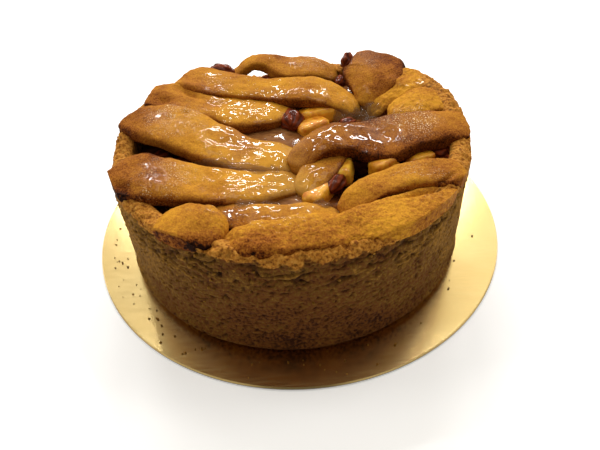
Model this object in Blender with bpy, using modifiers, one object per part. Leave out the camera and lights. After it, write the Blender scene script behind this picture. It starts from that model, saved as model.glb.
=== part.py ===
"""A deep apple pie with a rough lattice of pastry strips, standing on its round gold card.

Units are metres and +Z is up. The origin is the centre of the card's underside, and -Y is the front.
The pie was pressed into a straight-sided tin, so the crust is a cup with an upright wall. The filling
fills the cup, and the pastry strips lie over it from rim to middle, each one with its own thickness.
Every piece that lies under another is cut back by it, so that neighbours meet with a small gap.
"""
import math

import bmesh
import bpy
from mathutils import Matrix, Vector, noise

MM = 0.001
GAP = 0.35 * MM
FLAT_ANGLE = math.radians(2.5)
WELD = 0.02 * MM

# Card that carries the pie
CARD_RADIUS = 115 * MM
CARD_THICKNESS = 1.6 * MM
CARD_SIDES = 96

# Crust cup
PIE_CENTRE = Vector((-2.2 * MM, -7 * MM, 0))
CRUST_RADIUS = 90.2 * MM
CRUST_WALL = 10 * MM
CRUST_FLOOR = 9 * MM
CRUST_BASE = CARD_THICKNESS + GAP
FOOT_ROUNDING = 4 * MM
RIM_HEIGHT = 66.5 * MM
RIM_INNER_DROP = 1.5 * MM
RIM_EDGE_DROP = 0.5 * MM
RIM_OUTER_DROP = 2.5 * MM
INNER_RING = 0.6 * RIM_HEIGHT
FOOT_SHARE = 0.3
BACK_DIP = 14 * MM
BACK_DIP_ANGLE = math.radians(97)
BACK_DIP_WIDTH = math.radians(29)
RIGHT_RISE = 6 * MM
RIGHT_RISE_ANGLE = math.radians(18)
RIGHT_RISE_WIDTH = math.radians(22)
LEFT_NOTCH = 4 * MM
LEFT_NOTCH_ANGLE = math.radians(186)
LEFT_NOTCH_WIDTH = math.radians(8)
CRUST_STEPS = 72
WALL_ROWS = 5
WALL_CRAGS = 0.7 * MM
WALL_CRAG_SIZE = 11 * MM
RIM_CRAGS = 1.1 * MM
FINE_CRAGS = 2.3
RIM_CRAG_DETAIL = 1.7

# Filling
FILLING_CLEARANCE = 0.8 * MM
FILLING_RADIUS = CRUST_RADIUS - CRUST_WALL - FILLING_CLEARANCE
FILLING_TOP = 56.5 * MM
FILLING_STEPS = 32
FILLING_RINGS = 6
FILLING_LUMPS = 1.3 * MM
FILLING_LUMP_SIZE = 15 * MM
FILLING_SAG = 0.5
FILLING_SAG_POWER = 6

# Pastry strips
STRIP_THICKNESS = 8.6 * MM
STRIP_SLENDERNESS = 0.5
SECTION_POINTS = 10
SECTION_SQUARENESS = 0.62
CROWN = 0.1
STATION_SPACING = 7.5 * MM
END_DEPTH = 0.32
STRIP_WAVES = 0.5 * MM
STRIP_WAVE_SIZE = 13 * MM
ROUTE_SAMPLES = 24
END_ANGLES = (math.radians(35), math.radians(65))

# Fruit
CHUNK_EDGE = 2.2 * MM
CHUNK_EDGE_STEPS = 2
CHUNK_EDGE_SHAPE = 0.6
CHUNK_TAPER = 0.8
CHUNK_TILT = math.radians(18)
RAISIN_FOLDS = 3
RAISIN_WRINKLE = 0.07
RAISIN_TAPER = 0.08
RAISIN_TILT = math.radians(8)

# Each strip's route: place of the top face from the pie's centre, height of the top face over the
# card's underside, and width, in millimetres, from the rim inwards.
STRIPS = {
    "strip_left_front": [(-85, -27, 70, 22), (-73, -33, 71.5, 29), (-56, -37, 70.5, 28),
                         (-38, -38.5, 67, 24), (-20, -37.5, 63.5, 23), (-3, -32.5, 60.5, 18),
                         (9, -27.5, 56, 12)],
    "strip_left_middle": [(-84, 24, 69.5, 26), (-72, 15, 71, 30), (-56, 6, 71, 31),
                          (-40, -3.5, 68, 29), (-24, -11, 64.5, 27), (-6, -14.5, 62.5, 23),
                          (8, -16, 58, 14)],
    "strip_left_back": [(-79, 42, 70, 20), (-67, 39.5, 70.5, 24), (-53, 33, 68.5, 22),
                        (-39, 29.5, 66.5, 22), (-27, 27, 65.5, 29), (-14, 27, 65.2, 28),
                        (-3, 30, 63.5, 20), (4, 33, 60, 9)],
    "strip_back_left": [(-64, 60, 69, 20), (-53, 57, 70.5, 28), (-38, 53, 69, 26),
                        (-19, 46, 68.5, 20), (0, 40.5, 70, 24), (16, 38, 70, 25),
                        (30, 33, 66, 20), (40, 27, 60, 12)],
    "strip_back_arch": [(-38, 77, 57, 12), (-31, 78, 62.5, 11), (-21, 79, 68.5, 11), (-10, 78, 68.5, 14),
                        (2, 74, 66.5, 22), (18, 73, 66, 22), (32, 71, 60, 15)],
    "strip_right_back_lobe": [(47, 77, 71.5, 8), (48.5, 67, 74, 19), (51, 56, 73.5, 34),
                              (49, 46, 71.5, 33), (46.5, 37, 68, 24), (44, 29, 61, 12)],
    "strip_right_back_high": [(80, 44, 71, 16), (71, 41, 72, 23), (61, 36, 70, 22),
                              (52, 30, 65, 16), (45, 25, 58, 10)],
    "strip_right_back_low": [(85, 21, 70, 20), (76, 19, 71.5, 23), (64, 15, 70.5, 20),
                             (52, 12, 66, 15)],
    "strip_right_middle": [(91, -5, 69.5, 22), (74, -6, 71.5, 25), (58, -9, 71.5, 28),
                           (43, -12, 70, 33), (29, -12, 71.5, 22), (17, -15, 72, 19),
                           (8, -20, 69, 16), (1, -27, 62, 13)],
    "strip_centre": [(29, -8, 61, 13), (22, -17, 65.5, 15), (15.5, -26, 65.5, 17),
                     (10, -34, 64, 16), (3.5, -42, 59.5, 10)],
    "strip_right_front_high": [(80, -39.5, 68.5, 14), (69, -42.5, 70.5, 16.5),
                               (55, -44.5, 71.5, 16), (42, -47.5, 70.5, 16),
                               (31, -53, 68.5, 15), (22, -62, 62, 12)],
    "strip_right_front_low": [(73, -51, 67, 14), (61, -60.5, 69, 20), (46, -67.5, 70, 21),
                              (30, -72.5, 70, 20), (15, -75, 67, 14)],
    "strip_front_left": [(-60, -63, 67, 16), (-49, -67, 70.5, 23), (-38, -69.5, 70.5, 24),
                         (-27, -73, 66.5, 17)],
    "strip_front_middle": [(-31, -76, 64, 13), (-19, -77, 68.5, 17), (-6, -77.5, 69.5, 19),
                           (9, -76, 70, 20), (25, -75, 67, 16)],
    "strip_front_inner": [(-37, -51, 61, 12), (-22, -59.5, 64.5, 17), (-4, -62.5, 65.5, 16),
                          (10, -61.5, 65, 16), (22, -57, 60, 12)],
}

# Order in which strips lie over one another, uppermost first
STACK = ["strip_right_middle", "strip_back_left", "strip_right_back_lobe", "strip_centre",
         "strip_left_back", "strip_left_middle", "strip_left_front", "strip_right_front_high",
         "strip_right_back_low", "strip_right_back_high", "strip_back_arch", "strip_front_left",
         "strip_right_front_low", "strip_front_middle", "strip_front_inner"]

# Apple chunks: centre from the pie's centre, height of the centre, length, width, depth and turn
APPLES = {
    "apple_back": (13, 16, 56.5, 19, 13, 10, 25),
    "apple_back_right": (20, 28, 58.5, 28, 14, 9.5, 12),
    "apple_green": (26, -27, 59.5, 15, 9, 9, 75),
    "apple_orange": (13, -40.5, 57.5, 18, 12, 9, 55),
    "apple_right": (45, -27, 61, 15, 11, 10, 35),
    "apple_far_right": (63, -22, 60, 15, 9, 8, 15),
}

# Raisins: centre from the pie's centre, height of the centre, length, width, depth and turn
RAISINS = {
    "raisin_middle": (2, 20, 60.5, 16, 12, 10.5, 82),
    "raisin_middle_right": (32, 18, 57, 10, 8, 7, 20),
    "raisin_front": (21, -37, 60, 13, 8, 8, 55),
    "raisin_right_rim": (82, -16, 63, 12, 9, 8, 60),
    "raisin_right": (74, -18, 60.5, 11, 8, 7, 10),
    "raisin_right_red": (78, -25, 60, 10, 8, 7, 100),
    "raisin_left_inner": (-55, -8, 55, 11, 8, 7, 150),
    "raisin_left": (-67, 0, 54.5, 11, 8, 7, 20),
    "raisin_left_small": (-46, -13, 55.5, 9, 7, 6, 160),
    "raisin_back_right": (57, 29, 57, 10, 8, 7, 50),
    "raisin_burnt_left": (-40, 78, 62, 17, 10, 9, 150),
    "raisin_burnt_right": (38, 79, 63, 11, 8, 12, 70),
    "raisin_back_left": (-12, 69, 58.5, 10, 7, 6, 10),
    "raisin_back": (33, 66, 57, 10, 8, 7, 60),
}

# Deep places in the filling: centre from the pie's centre, radius and depth, in millimetres
HOLLOWS = [(-62, -8, 16, 5), (40, -26, 15, 6), (62, -22, 13, 4), (-15, 66, 15, 5), (50, 27, 9, 3),
           (30, -38, 9, 3)]

# Syrup lying level between the strips: centre from the pie's centre, radius and height
SYRUP_POOLS = [(-14, 12, 22, 58.5), (-5, -44, 20, 57.5), (10, 30, 9, 61.5)]

COLOURS = {
    "card": ((0.66, 0.47, 0.17), 0.28, 0.9),
    "crust": ((0.33, 0.15, 0.045), 0.8, 0.0),
    "strip": ((0.46, 0.21, 0.055), 0.5, 0.0),
    "filling": ((0.2, 0.09, 0.03), 0.3, 0.0),
    "apple": ((0.75, 0.38, 0.06), 0.3, 0.0),
    "raisin": ((0.075, 0.025, 0.012), 0.3, 0.0),
}


def clear_scene():
    """Remove every object that is already there."""
    for thing in list(bpy.data.objects):
        bpy.data.objects.remove(thing, do_unlink=True)


def new_collection(name):
    group = bpy.data.collections.new(name)
    bpy.context.scene.collection.children.link(group)
    return group


def paint(piece, kind):
    """Give a piece its own material in its kind's colour."""
    colour, roughness, metallic = COLOURS[kind]
    finish = bpy.data.materials.new(piece.name + "_" + kind)
    finish.use_nodes = True
    shader = finish.node_tree.nodes["Principled BSDF"]
    shader.inputs["Base Color"].default_value = (*colour, 1)
    shader.inputs["Roughness"].default_value = roughness
    shader.inputs["Metallic"].default_value = metallic
    finish.diffuse_color = (*colour, 1)
    piece.data.materials.clear()
    piece.data.materials.append(finish)


def as_object(shape, name, group):
    """Turn a bmesh into an object of a collection, with its faces pointing out."""
    bmesh.ops.recalc_face_normals(shape, faces=shape.faces)
    mesh = bpy.data.meshes.new(name)
    shape.to_mesh(mesh)
    shape.free()
    piece = bpy.data.objects.new(name, mesh)
    group.objects.link(piece)
    return piece


def mark_as_cutter(piece):
    piece.hide_render = True
    piece.display_type = "WIRE"


def catmull_rom(points, position):
    """A smooth curve through the points: position 1.5 is half way from point 1 to point 2."""
    last = len(points) - 1
    index = min(int(position), last - 1)
    t = position - index
    before = points[index - 1] if index > 0 else 2 * points[0] - points[1]
    after = points[index + 2] if index + 2 <= last else 2 * points[last] - points[last - 1]
    start, end = points[index], points[index + 1]
    return 0.5 * (2 * start + (end - before) * t
                  + (2 * before - 5 * start + 4 * end - after) * t ** 2
                  + (3 * start - before - 3 * end + after) * t ** 3)


def route_samples(route):
    """Points along a strip's route, each with its width, and the length run up to each point."""
    knots = [Vector((x * MM, y * MM, top * MM, width * MM)) for x, y, top, width in route]
    steps = ROUTE_SAMPLES * (len(route) - 1)
    dense = [catmull_rom(knots, i / ROUTE_SAMPLES) for i in range(steps + 1)]
    run = [0.0]
    for previous, point in zip(dense, dense[1:]):
        run.append(run[-1] + (point.xyz - previous.xyz).length)
    return dense, run


def station(dense, run, distance):
    """Place, tangent and width at one distance along the route."""
    distance = min(max(distance, 0.0), run[-1])
    index = next(i for i in range(1, len(run)) if run[i] >= distance - 1e-12)
    share = (distance - run[index - 1]) / (run[index] - run[index - 1])
    point = dense[index - 1].lerp(dense[index], share)
    tangent = (dense[index].xyz - dense[index - 1].xyz).normalized()
    return point.xyz, tangent, point.w


def signed_power(value, power):
    return math.copysign(abs(value) ** power, value)


def strip_section(width, thickness, scale):
    """Across and up offsets of one section: a squarish oval whose highest point is at zero."""
    points = []
    for i in range(SECTION_POINTS):
        angle = 2 * math.pi * (i + 0.5) / SECTION_POINTS
        across = 0.5 * width * signed_power(math.cos(angle), SECTION_SQUARENESS)
        up = 0.5 * thickness * signed_power(math.sin(angle), SECTION_SQUARENESS)
        droop = CROWN * thickness * (2 * across / width) ** 2
        points.append((scale * across, scale * (up - droop) - 0.5 * thickness))
    return points


def strip_shape(route, grow=0.0):
    """A rounded ribbon of pastry lofted along its route, swollen all round by grow."""
    dense, run = route_samples(route)
    length = run[-1]
    shape = bmesh.new()
    depth = END_DEPTH * min(route[0][3], route[-1][3]) * MM
    count = max(2, round((length - 2 * depth) / STATION_SPACING))
    stops = [(depth * (1 - math.cos(a)), math.sin(a)) for a in END_ANGLES]
    middle = [(depth + (length - 2 * depth) * i / count, 1.0) for i in range(count + 1)]
    ends = [(length - distance, scale) for distance, scale in reversed(stops)]
    rings = []
    for distance, scale in stops + middle + ends:
        place, tangent, width = station(dense, run, distance)
        thickness = min(STRIP_THICKNESS, STRIP_SLENDERNESS * width)
        level = Vector((tangent.y, -tangent.x, 0)).normalized()
        upright = level.cross(tangent).normalized()
        ring = []
        for across, up in strip_section(width, thickness, scale):
            offset = level * across + upright * up
            centre = upright * (-0.5 * thickness)
            outward = (offset - centre).normalized()
            spot = place + offset
            wave = noise.noise(spot / STRIP_WAVE_SIZE) * STRIP_WAVES
            ring.append(shape.verts.new(spot + outward * wave))
        rings.append(ring)
    for ring, following in zip(rings, rings[1:]):
        for i in range(SECTION_POINTS):
            after = (i + 1) % SECTION_POINTS
            shape.faces.new((ring[i], ring[after], following[after], following[i]))
    for ring, distance in ((rings[0], 0.0), (rings[-1], length)):
        place, _, width = station(dense, run, distance)
        thickness = min(STRIP_THICKNESS, STRIP_SLENDERNESS * width)
        pole = shape.verts.new(place - Vector((0, 0, 0.5 * thickness)))
        for i in range(SECTION_POINTS):
            shape.faces.new((ring[i], ring[(i + 1) % SECTION_POINTS], pole))
    bmesh.ops.triangulate(shape, faces=shape.faces, quad_method="FIXED")
    swell(shape, grow)
    return shape


def placed(shape):
    """Move a shape that is drawn round the pie's centre to the pie's place on the card."""
    bmesh.ops.translate(shape, verts=shape.verts, vec=PIE_CENTRE)
    return shape


def chunk_shape(spec, grow=0.0):
    """A cut piece of apple: a box with softened edges, tapered to one side."""
    x, y, z, length, width, depth, turn = spec
    shape = bmesh.new()
    bmesh.ops.create_cube(shape, size=1)
    for vert in shape.verts:
        taper = CHUNK_TAPER if vert.co.x > 0 else 1.0
        vert.co = Vector((vert.co.x * length * MM, vert.co.y * width * taper * MM, vert.co.z * depth * MM))
    bmesh.ops.bevel(shape, geom=shape.edges, offset=CHUNK_EDGE, segments=CHUNK_EDGE_STEPS, affect="EDGES",
                    profile=CHUNK_EDGE_SHAPE)
    swell(shape, grow)
    tilt = CHUNK_TILT * math.sin(x + y)
    spin = Matrix.Rotation(math.radians(turn), 4, "Z") @ Matrix.Rotation(tilt, 4, "X")
    bmesh.ops.transform(shape, matrix=Matrix.Translation((x * MM, y * MM, z * MM)) @ spin, verts=shape.verts)
    bmesh.ops.triangulate(shape, faces=shape.faces)
    return shape


def raisin_shape(spec, grow=0.0):
    """A swollen raisin: an egg shape with lengthwise wrinkles."""
    x, y, z, length, width, depth, turn = spec
    shape = bmesh.new()
    bmesh.ops.create_icosphere(shape, subdivisions=2, radius=0.5)
    for vert in shape.verts:
        around = math.atan2(vert.co.z, vert.co.y)
        wrinkle = 1 + RAISIN_WRINKLE * math.sin(RAISIN_FOLDS * around + x) - RAISIN_TAPER * vert.co.x
        vert.co = Vector((vert.co.x * length * MM, vert.co.y * width * MM * wrinkle,
                          vert.co.z * depth * MM * wrinkle))
    swell(shape, grow)
    spin = Matrix.Rotation(math.radians(turn), 4, "Z") @ Matrix.Rotation(RAISIN_TILT, 4, "Y")
    bmesh.ops.transform(shape, matrix=Matrix.Translation((x * MM, y * MM, z * MM)) @ spin, verts=shape.verts)
    return shape


def swell(shape, grow):
    """Push every vertex of a shape out along its normal."""
    bmesh.ops.recalc_face_normals(shape, faces=shape.faces)
    shape.normal_update()
    moves = [(vert, vert.normal.copy()) for vert in shape.verts]
    for vert, normal in moves:
        vert.co += normal * grow


def dip(offset, width):
    """A smooth bell that is 1 at its middle and fades out past the width."""
    return math.exp(-(offset / width) ** 2)


def angle_from(angle, middle):
    """Signed difference of two angles, from -pi to pi."""
    return (angle - middle + math.pi) % (2 * math.pi) - math.pi


def rim_height(angle):
    """Height of the crust's rim: it sinks at the back and in a notch on the left, and rises on the right."""
    back = BACK_DIP * dip(angle_from(angle, BACK_DIP_ANGLE), BACK_DIP_WIDTH)
    notch = LEFT_NOTCH * dip(angle_from(angle, LEFT_NOTCH_ANGLE), LEFT_NOTCH_WIDTH)
    rise = RIGHT_RISE * dip(angle_from(angle, RIGHT_RISE_ANGLE), RIGHT_RISE_WIDTH)
    return RIM_HEIGHT - back - notch + rise


def turned(profile, name, steps, group):
    """Turn a profile of (radius, height) pairs, running down its outer side, round the Z axis."""
    mesh = bpy.data.meshes.new(name)
    mesh.from_pydata([(r, 0, z) for r, z in profile], [(i, i + 1) for i in range(len(profile) - 1)], [])
    piece = bpy.data.objects.new(name, mesh)
    group.objects.link(piece)
    screw = piece.modifiers.new("Turn", "SCREW")
    screw.steps = steps
    screw.render_steps = steps
    screw.use_merge_vertices = True
    screw.merge_threshold = 0.01 * MM
    screw.use_smooth_shade = False
    return piece


def apply_modifiers(piece):
    """Replace a piece's mesh by its evaluated mesh and drop the modifiers."""
    graph = bpy.context.evaluated_depsgraph_get()
    finished = bpy.data.meshes.new_from_object(piece.evaluated_get(graph))
    piece.modifiers.clear()
    piece.data = finished


def drop_folded_pairs(shape):
    """Remove faces that lie back to back on the same three vertices."""
    found = {}
    for face in shape.faces:
        found.setdefault(frozenset(face.verts), []).append(face)
    pairs = [face for faces in found.values() if len(faces) > 1 for face in faces]
    bmesh.ops.delete(shape, geom=pairs, context="FACES")


def keep_largest_body(piece):
    """Clean a cut's edges and drop the scraps that it left loose."""
    shape = bmesh.new()
    shape.from_mesh(piece.data)
    bmesh.ops.remove_doubles(shape, verts=shape.verts, dist=WELD)
    bmesh.ops.dissolve_degenerate(shape, dist=WELD, edges=shape.edges)
    bmesh.ops.triangulate(shape, faces=shape.faces)
    drop_folded_pairs(shape)
    unseen = set(shape.faces)
    bodies = []
    while unseen:
        body, edge_of_body = set(), [unseen.pop()]
        while edge_of_body:
            face = edge_of_body.pop()
            body.add(face)
            for edge in face.edges:
                fresh = [other for other in edge.link_faces if other in unseen]
                unseen.difference_update(fresh)
                edge_of_body.extend(fresh)
        bodies.append(body)
    bodies.sort(key=lambda body: sum(face.calc_area() for face in body))
    scraps = [face for body in bodies[:-1] for face in body]
    bmesh.ops.delete(shape, geom=scraps, context="FACES")
    bmesh.ops.dissolve_limit(shape, angle_limit=FLAT_ANGLE, verts=shape.verts, edges=shape.edges)
    bmesh.ops.triangulate(shape, faces=shape.faces)
    shape.to_mesh(piece.data)
    shape.free()


def carve(piece, cutters, solver="EXACT"):
    """Cut a piece back by every cutter, and keep what is left in one body."""
    for cutter in cutters:
        cut = piece.modifiers.new(cutter.name, "BOOLEAN")
        cut.operation = "DIFFERENCE"
        cut.solver = solver
        cut.object = cutter
    apply_modifiers(piece)
    keep_largest_body(piece)


def build_card(group):
    """The round card: a thin disc."""
    shape = bmesh.new()
    bmesh.ops.create_cone(shape, cap_ends=True, segments=CARD_SIDES, radius1=CARD_RADIUS,
                          radius2=CARD_RADIUS, depth=CARD_THICKNESS)
    bmesh.ops.translate(shape, verts=shape.verts, vec=(0, 0, 0.5 * CARD_THICKNESS))
    return as_object(shape, "cake_board", group)


def build_crust(group):
    """The crust cup, turned and then roughened: crags on the wall and an uneven, sunken rim."""
    inner = CRUST_RADIUS - CRUST_WALL
    high = RIM_HEIGHT - RIM_OUTER_DROP
    profile = [(inner + 0.1 * CRUST_WALL, RIM_HEIGHT - RIM_INNER_DROP),
               (inner + 0.5 * CRUST_WALL, RIM_HEIGHT),
               (CRUST_RADIUS - RIM_INNER_DROP, RIM_HEIGHT - RIM_EDGE_DROP), (CRUST_RADIUS, high)]
    low = CRUST_BASE + FOOT_ROUNDING
    profile += [(CRUST_RADIUS, high + (low - high) * i / WALL_ROWS) for i in range(1, WALL_ROWS + 1)]
    profile += [(CRUST_RADIUS - FOOT_SHARE * FOOT_ROUNDING, CRUST_BASE + FOOT_SHARE * FOOT_ROUNDING),
                (CRUST_RADIUS - FOOT_ROUNDING, CRUST_BASE), (0, CRUST_BASE)]
    floor = CRUST_BASE + CRUST_FLOOR
    profile = [(0, floor), (inner, floor), (inner, INNER_RING)] + profile
    crust = turned(profile, "crust", CRUST_STEPS, group)
    apply_modifiers(crust)
    for vert in crust.data.vertices:
        roughen_crust(vert, inner)
    crust.location = PIE_CENTRE
    return settle(crust)


def roughen_crust(vert, inner):
    """Move one vertex of the turned crust: stretch it to the rim's height and push it in or out."""
    radius = math.hypot(vert.co.x, vert.co.y)
    if radius < 1 * MM:
        return
    angle = math.atan2(vert.co.y, vert.co.x)
    outward = Vector((vert.co.x, vert.co.y, 0)) / radius
    wall_share = max(0.0, (vert.co.z - CRUST_BASE - CRUST_FLOOR) / (RIM_HEIGHT - CRUST_BASE - CRUST_FLOOR))
    spot = vert.co / WALL_CRAG_SIZE
    if radius > inner + 0.05 * CRUST_WALL:
        rough = noise.noise(spot) + 0.5 * noise.noise(FINE_CRAGS * spot)
        if vert.co.z > CRUST_BASE + 0.5 * MM:
            vert.co += outward * rough * WALL_CRAGS
        if vert.co.z > RIM_HEIGHT - 3 * MM:
            vert.co.z += noise.noise(RIM_CRAG_DETAIL * spot) * RIM_CRAGS
    vert.co.z -= (RIM_HEIGHT - rim_height(angle)) * wall_share


def settle(piece):
    """Put a piece's place into its mesh."""
    piece.data.transform(Matrix.Translation(piece.location))
    piece.location = (0, 0, 0)
    return piece


def filling_height(x, y):
    """Height of the filling's top: lumps, hollows, and syrup lying level between the strips."""
    spot = Vector((x, y, 0)) / FILLING_LUMP_SIZE
    height = FILLING_TOP + noise.noise(spot) * FILLING_LUMPS
    angle = math.atan2(y, x)
    edge = min(1.0, math.hypot(x, y) / FILLING_RADIUS)
    height -= FILLING_SAG * (RIM_HEIGHT - rim_height(angle)) * edge ** FILLING_SAG_POWER
    for pool_x, pool_y, radius, level in SYRUP_POOLS:
        share = dip(math.hypot(x - pool_x * MM, y - pool_y * MM), radius * MM)
        height += (level * MM - height) * share
    for hollow_x, hollow_y, radius, depth in HOLLOWS:
        height -= depth * MM * dip(math.hypot(x - hollow_x * MM, y - hollow_y * MM), radius * MM)
    return height


def build_filling(group):
    """The filling: a turned plug whose top is then moved to the filling's height."""
    base = CRUST_BASE + CRUST_FLOOR + GAP
    rings = [(FILLING_RADIUS * i / FILLING_RINGS, FILLING_TOP) for i in range(FILLING_RINGS + 1)]
    profile = rings + [(FILLING_RADIUS, base), (0, base)]
    filling = turned(profile, "filling", FILLING_STEPS, group)
    apply_modifiers(filling)
    for vert in filling.data.vertices:
        if vert.co.z > 0.5 * FILLING_TOP:
            vert.co.z = filling_height(vert.co.x, vert.co.y)
    filling.location = PIE_CENTRE
    return settle(filling)


def build_pie():
    """Build every piece, carve the lower ones by the upper ones, and paint them."""
    clear_scene()
    pie = new_collection("apple_pie")
    cutters = new_collection("cutters")
    swollen = {}

    def add(name, shape_of, spec, kind, above):
        piece = as_object(placed(shape_of(spec)), name, pie)
        carve(piece, [swollen[other] for other in above])
        cutter = as_object(placed(shape_of(spec, GAP)), name + "_cutter", cutters)
        mark_as_cutter(cutter)
        swollen[name] = cutter
        paint(piece, kind)

    for level, name in enumerate(STACK):
        add(name, strip_shape, STRIPS[name], "strip", STACK[:level])
    for name, spec in APPLES.items():
        add(name, chunk_shape, spec, "apple", list(swollen))
    for name, spec in RAISINS.items():
        add(name, raisin_shape, spec, "raisin", list(swollen))
    crust = build_crust(pie)
    carve(crust, list(swollen.values()), "MANIFOLD")
    paint(crust, "crust")
    filling = build_filling(pie)
    carve(filling, list(swollen.values()), "MANIFOLD")
    paint(filling, "filling")
    paint(build_card(pie), "card")
    for cutter in list(cutters.objects):
        bpy.data.objects.remove(cutter, do_unlink=True)
    bpy.data.collections.remove(cutters)


build_pie()
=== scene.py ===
"""The looks of a deep apple pie with a glazed pastry lattice, on its round gold card.

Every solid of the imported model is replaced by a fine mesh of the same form. Shapes are worked out as
whole arrays: a surface is a function of two parameters on a grid, and relief comes from gradient noise
laid along its normals. Places are in millimetres in the tables and in metres in the meshes. The origin is
the centre of the card's underside, +Z is up and -Y is the front.
"""
from __future__ import annotations

import logging
import math
from dataclasses import dataclass, field
from enum import Enum
from typing import Union

import bpy
import numpy as np
from mathutils import Matrix, Vector


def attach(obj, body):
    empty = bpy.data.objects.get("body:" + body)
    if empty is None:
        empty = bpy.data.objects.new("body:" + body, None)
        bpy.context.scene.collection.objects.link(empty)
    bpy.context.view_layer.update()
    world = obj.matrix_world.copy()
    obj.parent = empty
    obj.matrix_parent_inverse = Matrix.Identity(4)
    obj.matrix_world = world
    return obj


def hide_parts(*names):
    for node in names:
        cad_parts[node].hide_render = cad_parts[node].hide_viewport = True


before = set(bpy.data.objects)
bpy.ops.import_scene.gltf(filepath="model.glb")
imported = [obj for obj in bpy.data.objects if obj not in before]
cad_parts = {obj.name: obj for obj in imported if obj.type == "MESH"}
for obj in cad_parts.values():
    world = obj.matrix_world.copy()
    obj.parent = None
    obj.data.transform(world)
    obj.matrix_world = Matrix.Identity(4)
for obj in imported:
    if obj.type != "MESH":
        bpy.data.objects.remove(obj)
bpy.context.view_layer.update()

log = logging.getLogger("apple_pie")

Array = np.ndarray
Tree = bpy.types.NodeTree
Socket = bpy.types.NodeSocket
Value = Union[bpy.types.NodeSocket, float, tuple]
MM = 0.001
PIE_CENTRE = np.array([-2.2, -7.0, 0.0])


class Slot(Enum):
    """Names of the material slots."""

    CARD = "gold_card"
    CRUST = "crust"
    LATTICE = "lattice"
    FILLING = "filling"
    APPLE = "apple_chunk"
    RAISIN = "raisin"


def smoothstep(low: float, high: float, value: Array) -> Array:
    """A soft step.

    Args:
        low: the value where the step begins, giving 0.
        high: the value where it ends, giving 1.
        value: the numbers to map.

    Returns:
        3t^2 - 2t^3 with t the clamped share of the way from low to high.
    """
    t = np.clip((value - low) / (high - low), 0.0, 1.0)
    return t * t * (3.0 - 2.0 * t)


def bell(offset: Array, width: float) -> Array:
    """A bell exp(-(offset/width)^2): 1 in its middle, fading out past the width."""
    return np.exp(-((offset / width) ** 2))


def angle_from(angle: Array, middle: float) -> Array:
    """Signed difference of two angles in degrees, from -180 to 180."""
    return (angle - middle + 180.0) % 360.0 - 180.0


class Relief:
    """Smooth gradient noise in space, the same on every run.

    Each corner of a unit lattice gets a slope from a shuffled table. A point takes the eight slopes round
    it, each times its offset from that corner, blended by the curve 6t^5 - 15t^4 + 10t^3.
    """

    TABLE = 256

    def __init__(self, seed: int) -> None:
        """Shuffle the tables.

        Args:
            seed: what picks the order; the same seed gives the same noise.
        """
        draw = np.random.default_rng(seed)
        self.order = draw.permutation(self.TABLE)
        slopes = draw.normal(size=(self.TABLE, 3))
        self.slopes = slopes / np.linalg.norm(slopes, axis=1, keepdims=True)

    def at(self, points: Array, size: float | tuple[float, float, float]) -> Array:
        """Noise at points.

        Args:
            points: places, in millimetres, in the last axis.
            size: the width of a bump in millimetres, alike or along each axis.

        Returns:
            One number a point, about -0.8 to 0.8.
        """
        place = points / np.asarray(size, dtype=float) + 37.3
        cell = np.floor(place).astype(int)
        inside = place - cell
        blend = inside ** 3 * (inside * (inside * 6.0 - 15.0) + 10.0)
        total = np.zeros(points.shape[:-1])
        for corner in np.ndindex(2, 2, 2):
            key = (cell + corner) % self.TABLE
            spot = self.order[(self.order[(self.order[key[..., 0]] + key[..., 1]) % self.TABLE]
                               + key[..., 2]) % self.TABLE]
            share = np.prod(np.where(np.array(corner) == 1, blend, 1.0 - blend), axis=-1)
            total += share * np.sum(self.slopes[spot] * (inside - corner), axis=-1)
        return 1.6 * total

    def layers(self, points: Array, size: float, count: int, fade: float = 0.5) -> Array:
        """Noise summed over octaves: each one half the size and fade times the strength of the last."""
        return sum(fade ** i * self.at(points + 11.7 * i, size / 2.0 ** i) for i in range(count))


def catmull_rom(knots: Array, position: Array) -> Array:
    """A smooth curve through knots.

    Args:
        knots: one row a knot.
        position: places along it, 1.5 being half way from knot 1 to knot 2.

    Returns:
        One row a position: the usual cubic through four neighbouring knots, ends mirrored.
    """
    padded = np.vstack([2 * knots[0] - knots[1], knots, 2 * knots[-1] - knots[-2]])
    index = np.clip(position.astype(int), 0, len(knots) - 2)
    t = (position - index)[:, None]
    before, start, end, after = (padded[index + i] for i in range(4))
    return 0.5 * (2 * start + (end - before) * t + (2 * before - 5 * start + 4 * end - after) * t ** 2
                  + (3 * start - before - 3 * end + after) * t ** 3)


def unit(vectors: Array) -> Array:
    """Vectors scaled to length 1 along the last axis."""
    return vectors / np.maximum(np.linalg.norm(vectors, axis=-1, keepdims=True), 1e-9)


def grid_normals(points: Array) -> Array:
    """Normals of a grid that closes on itself around.

    Args:
        points: the grid (along, around, 3).

    Returns:
        At each point the cross product of the central differences around and along, of length 1.
    """
    around = np.roll(points, -1, axis=1) - np.roll(points, 1, axis=1)
    along = np.gradient(points, axis=0)
    return unit(np.cross(around, along))


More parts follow.
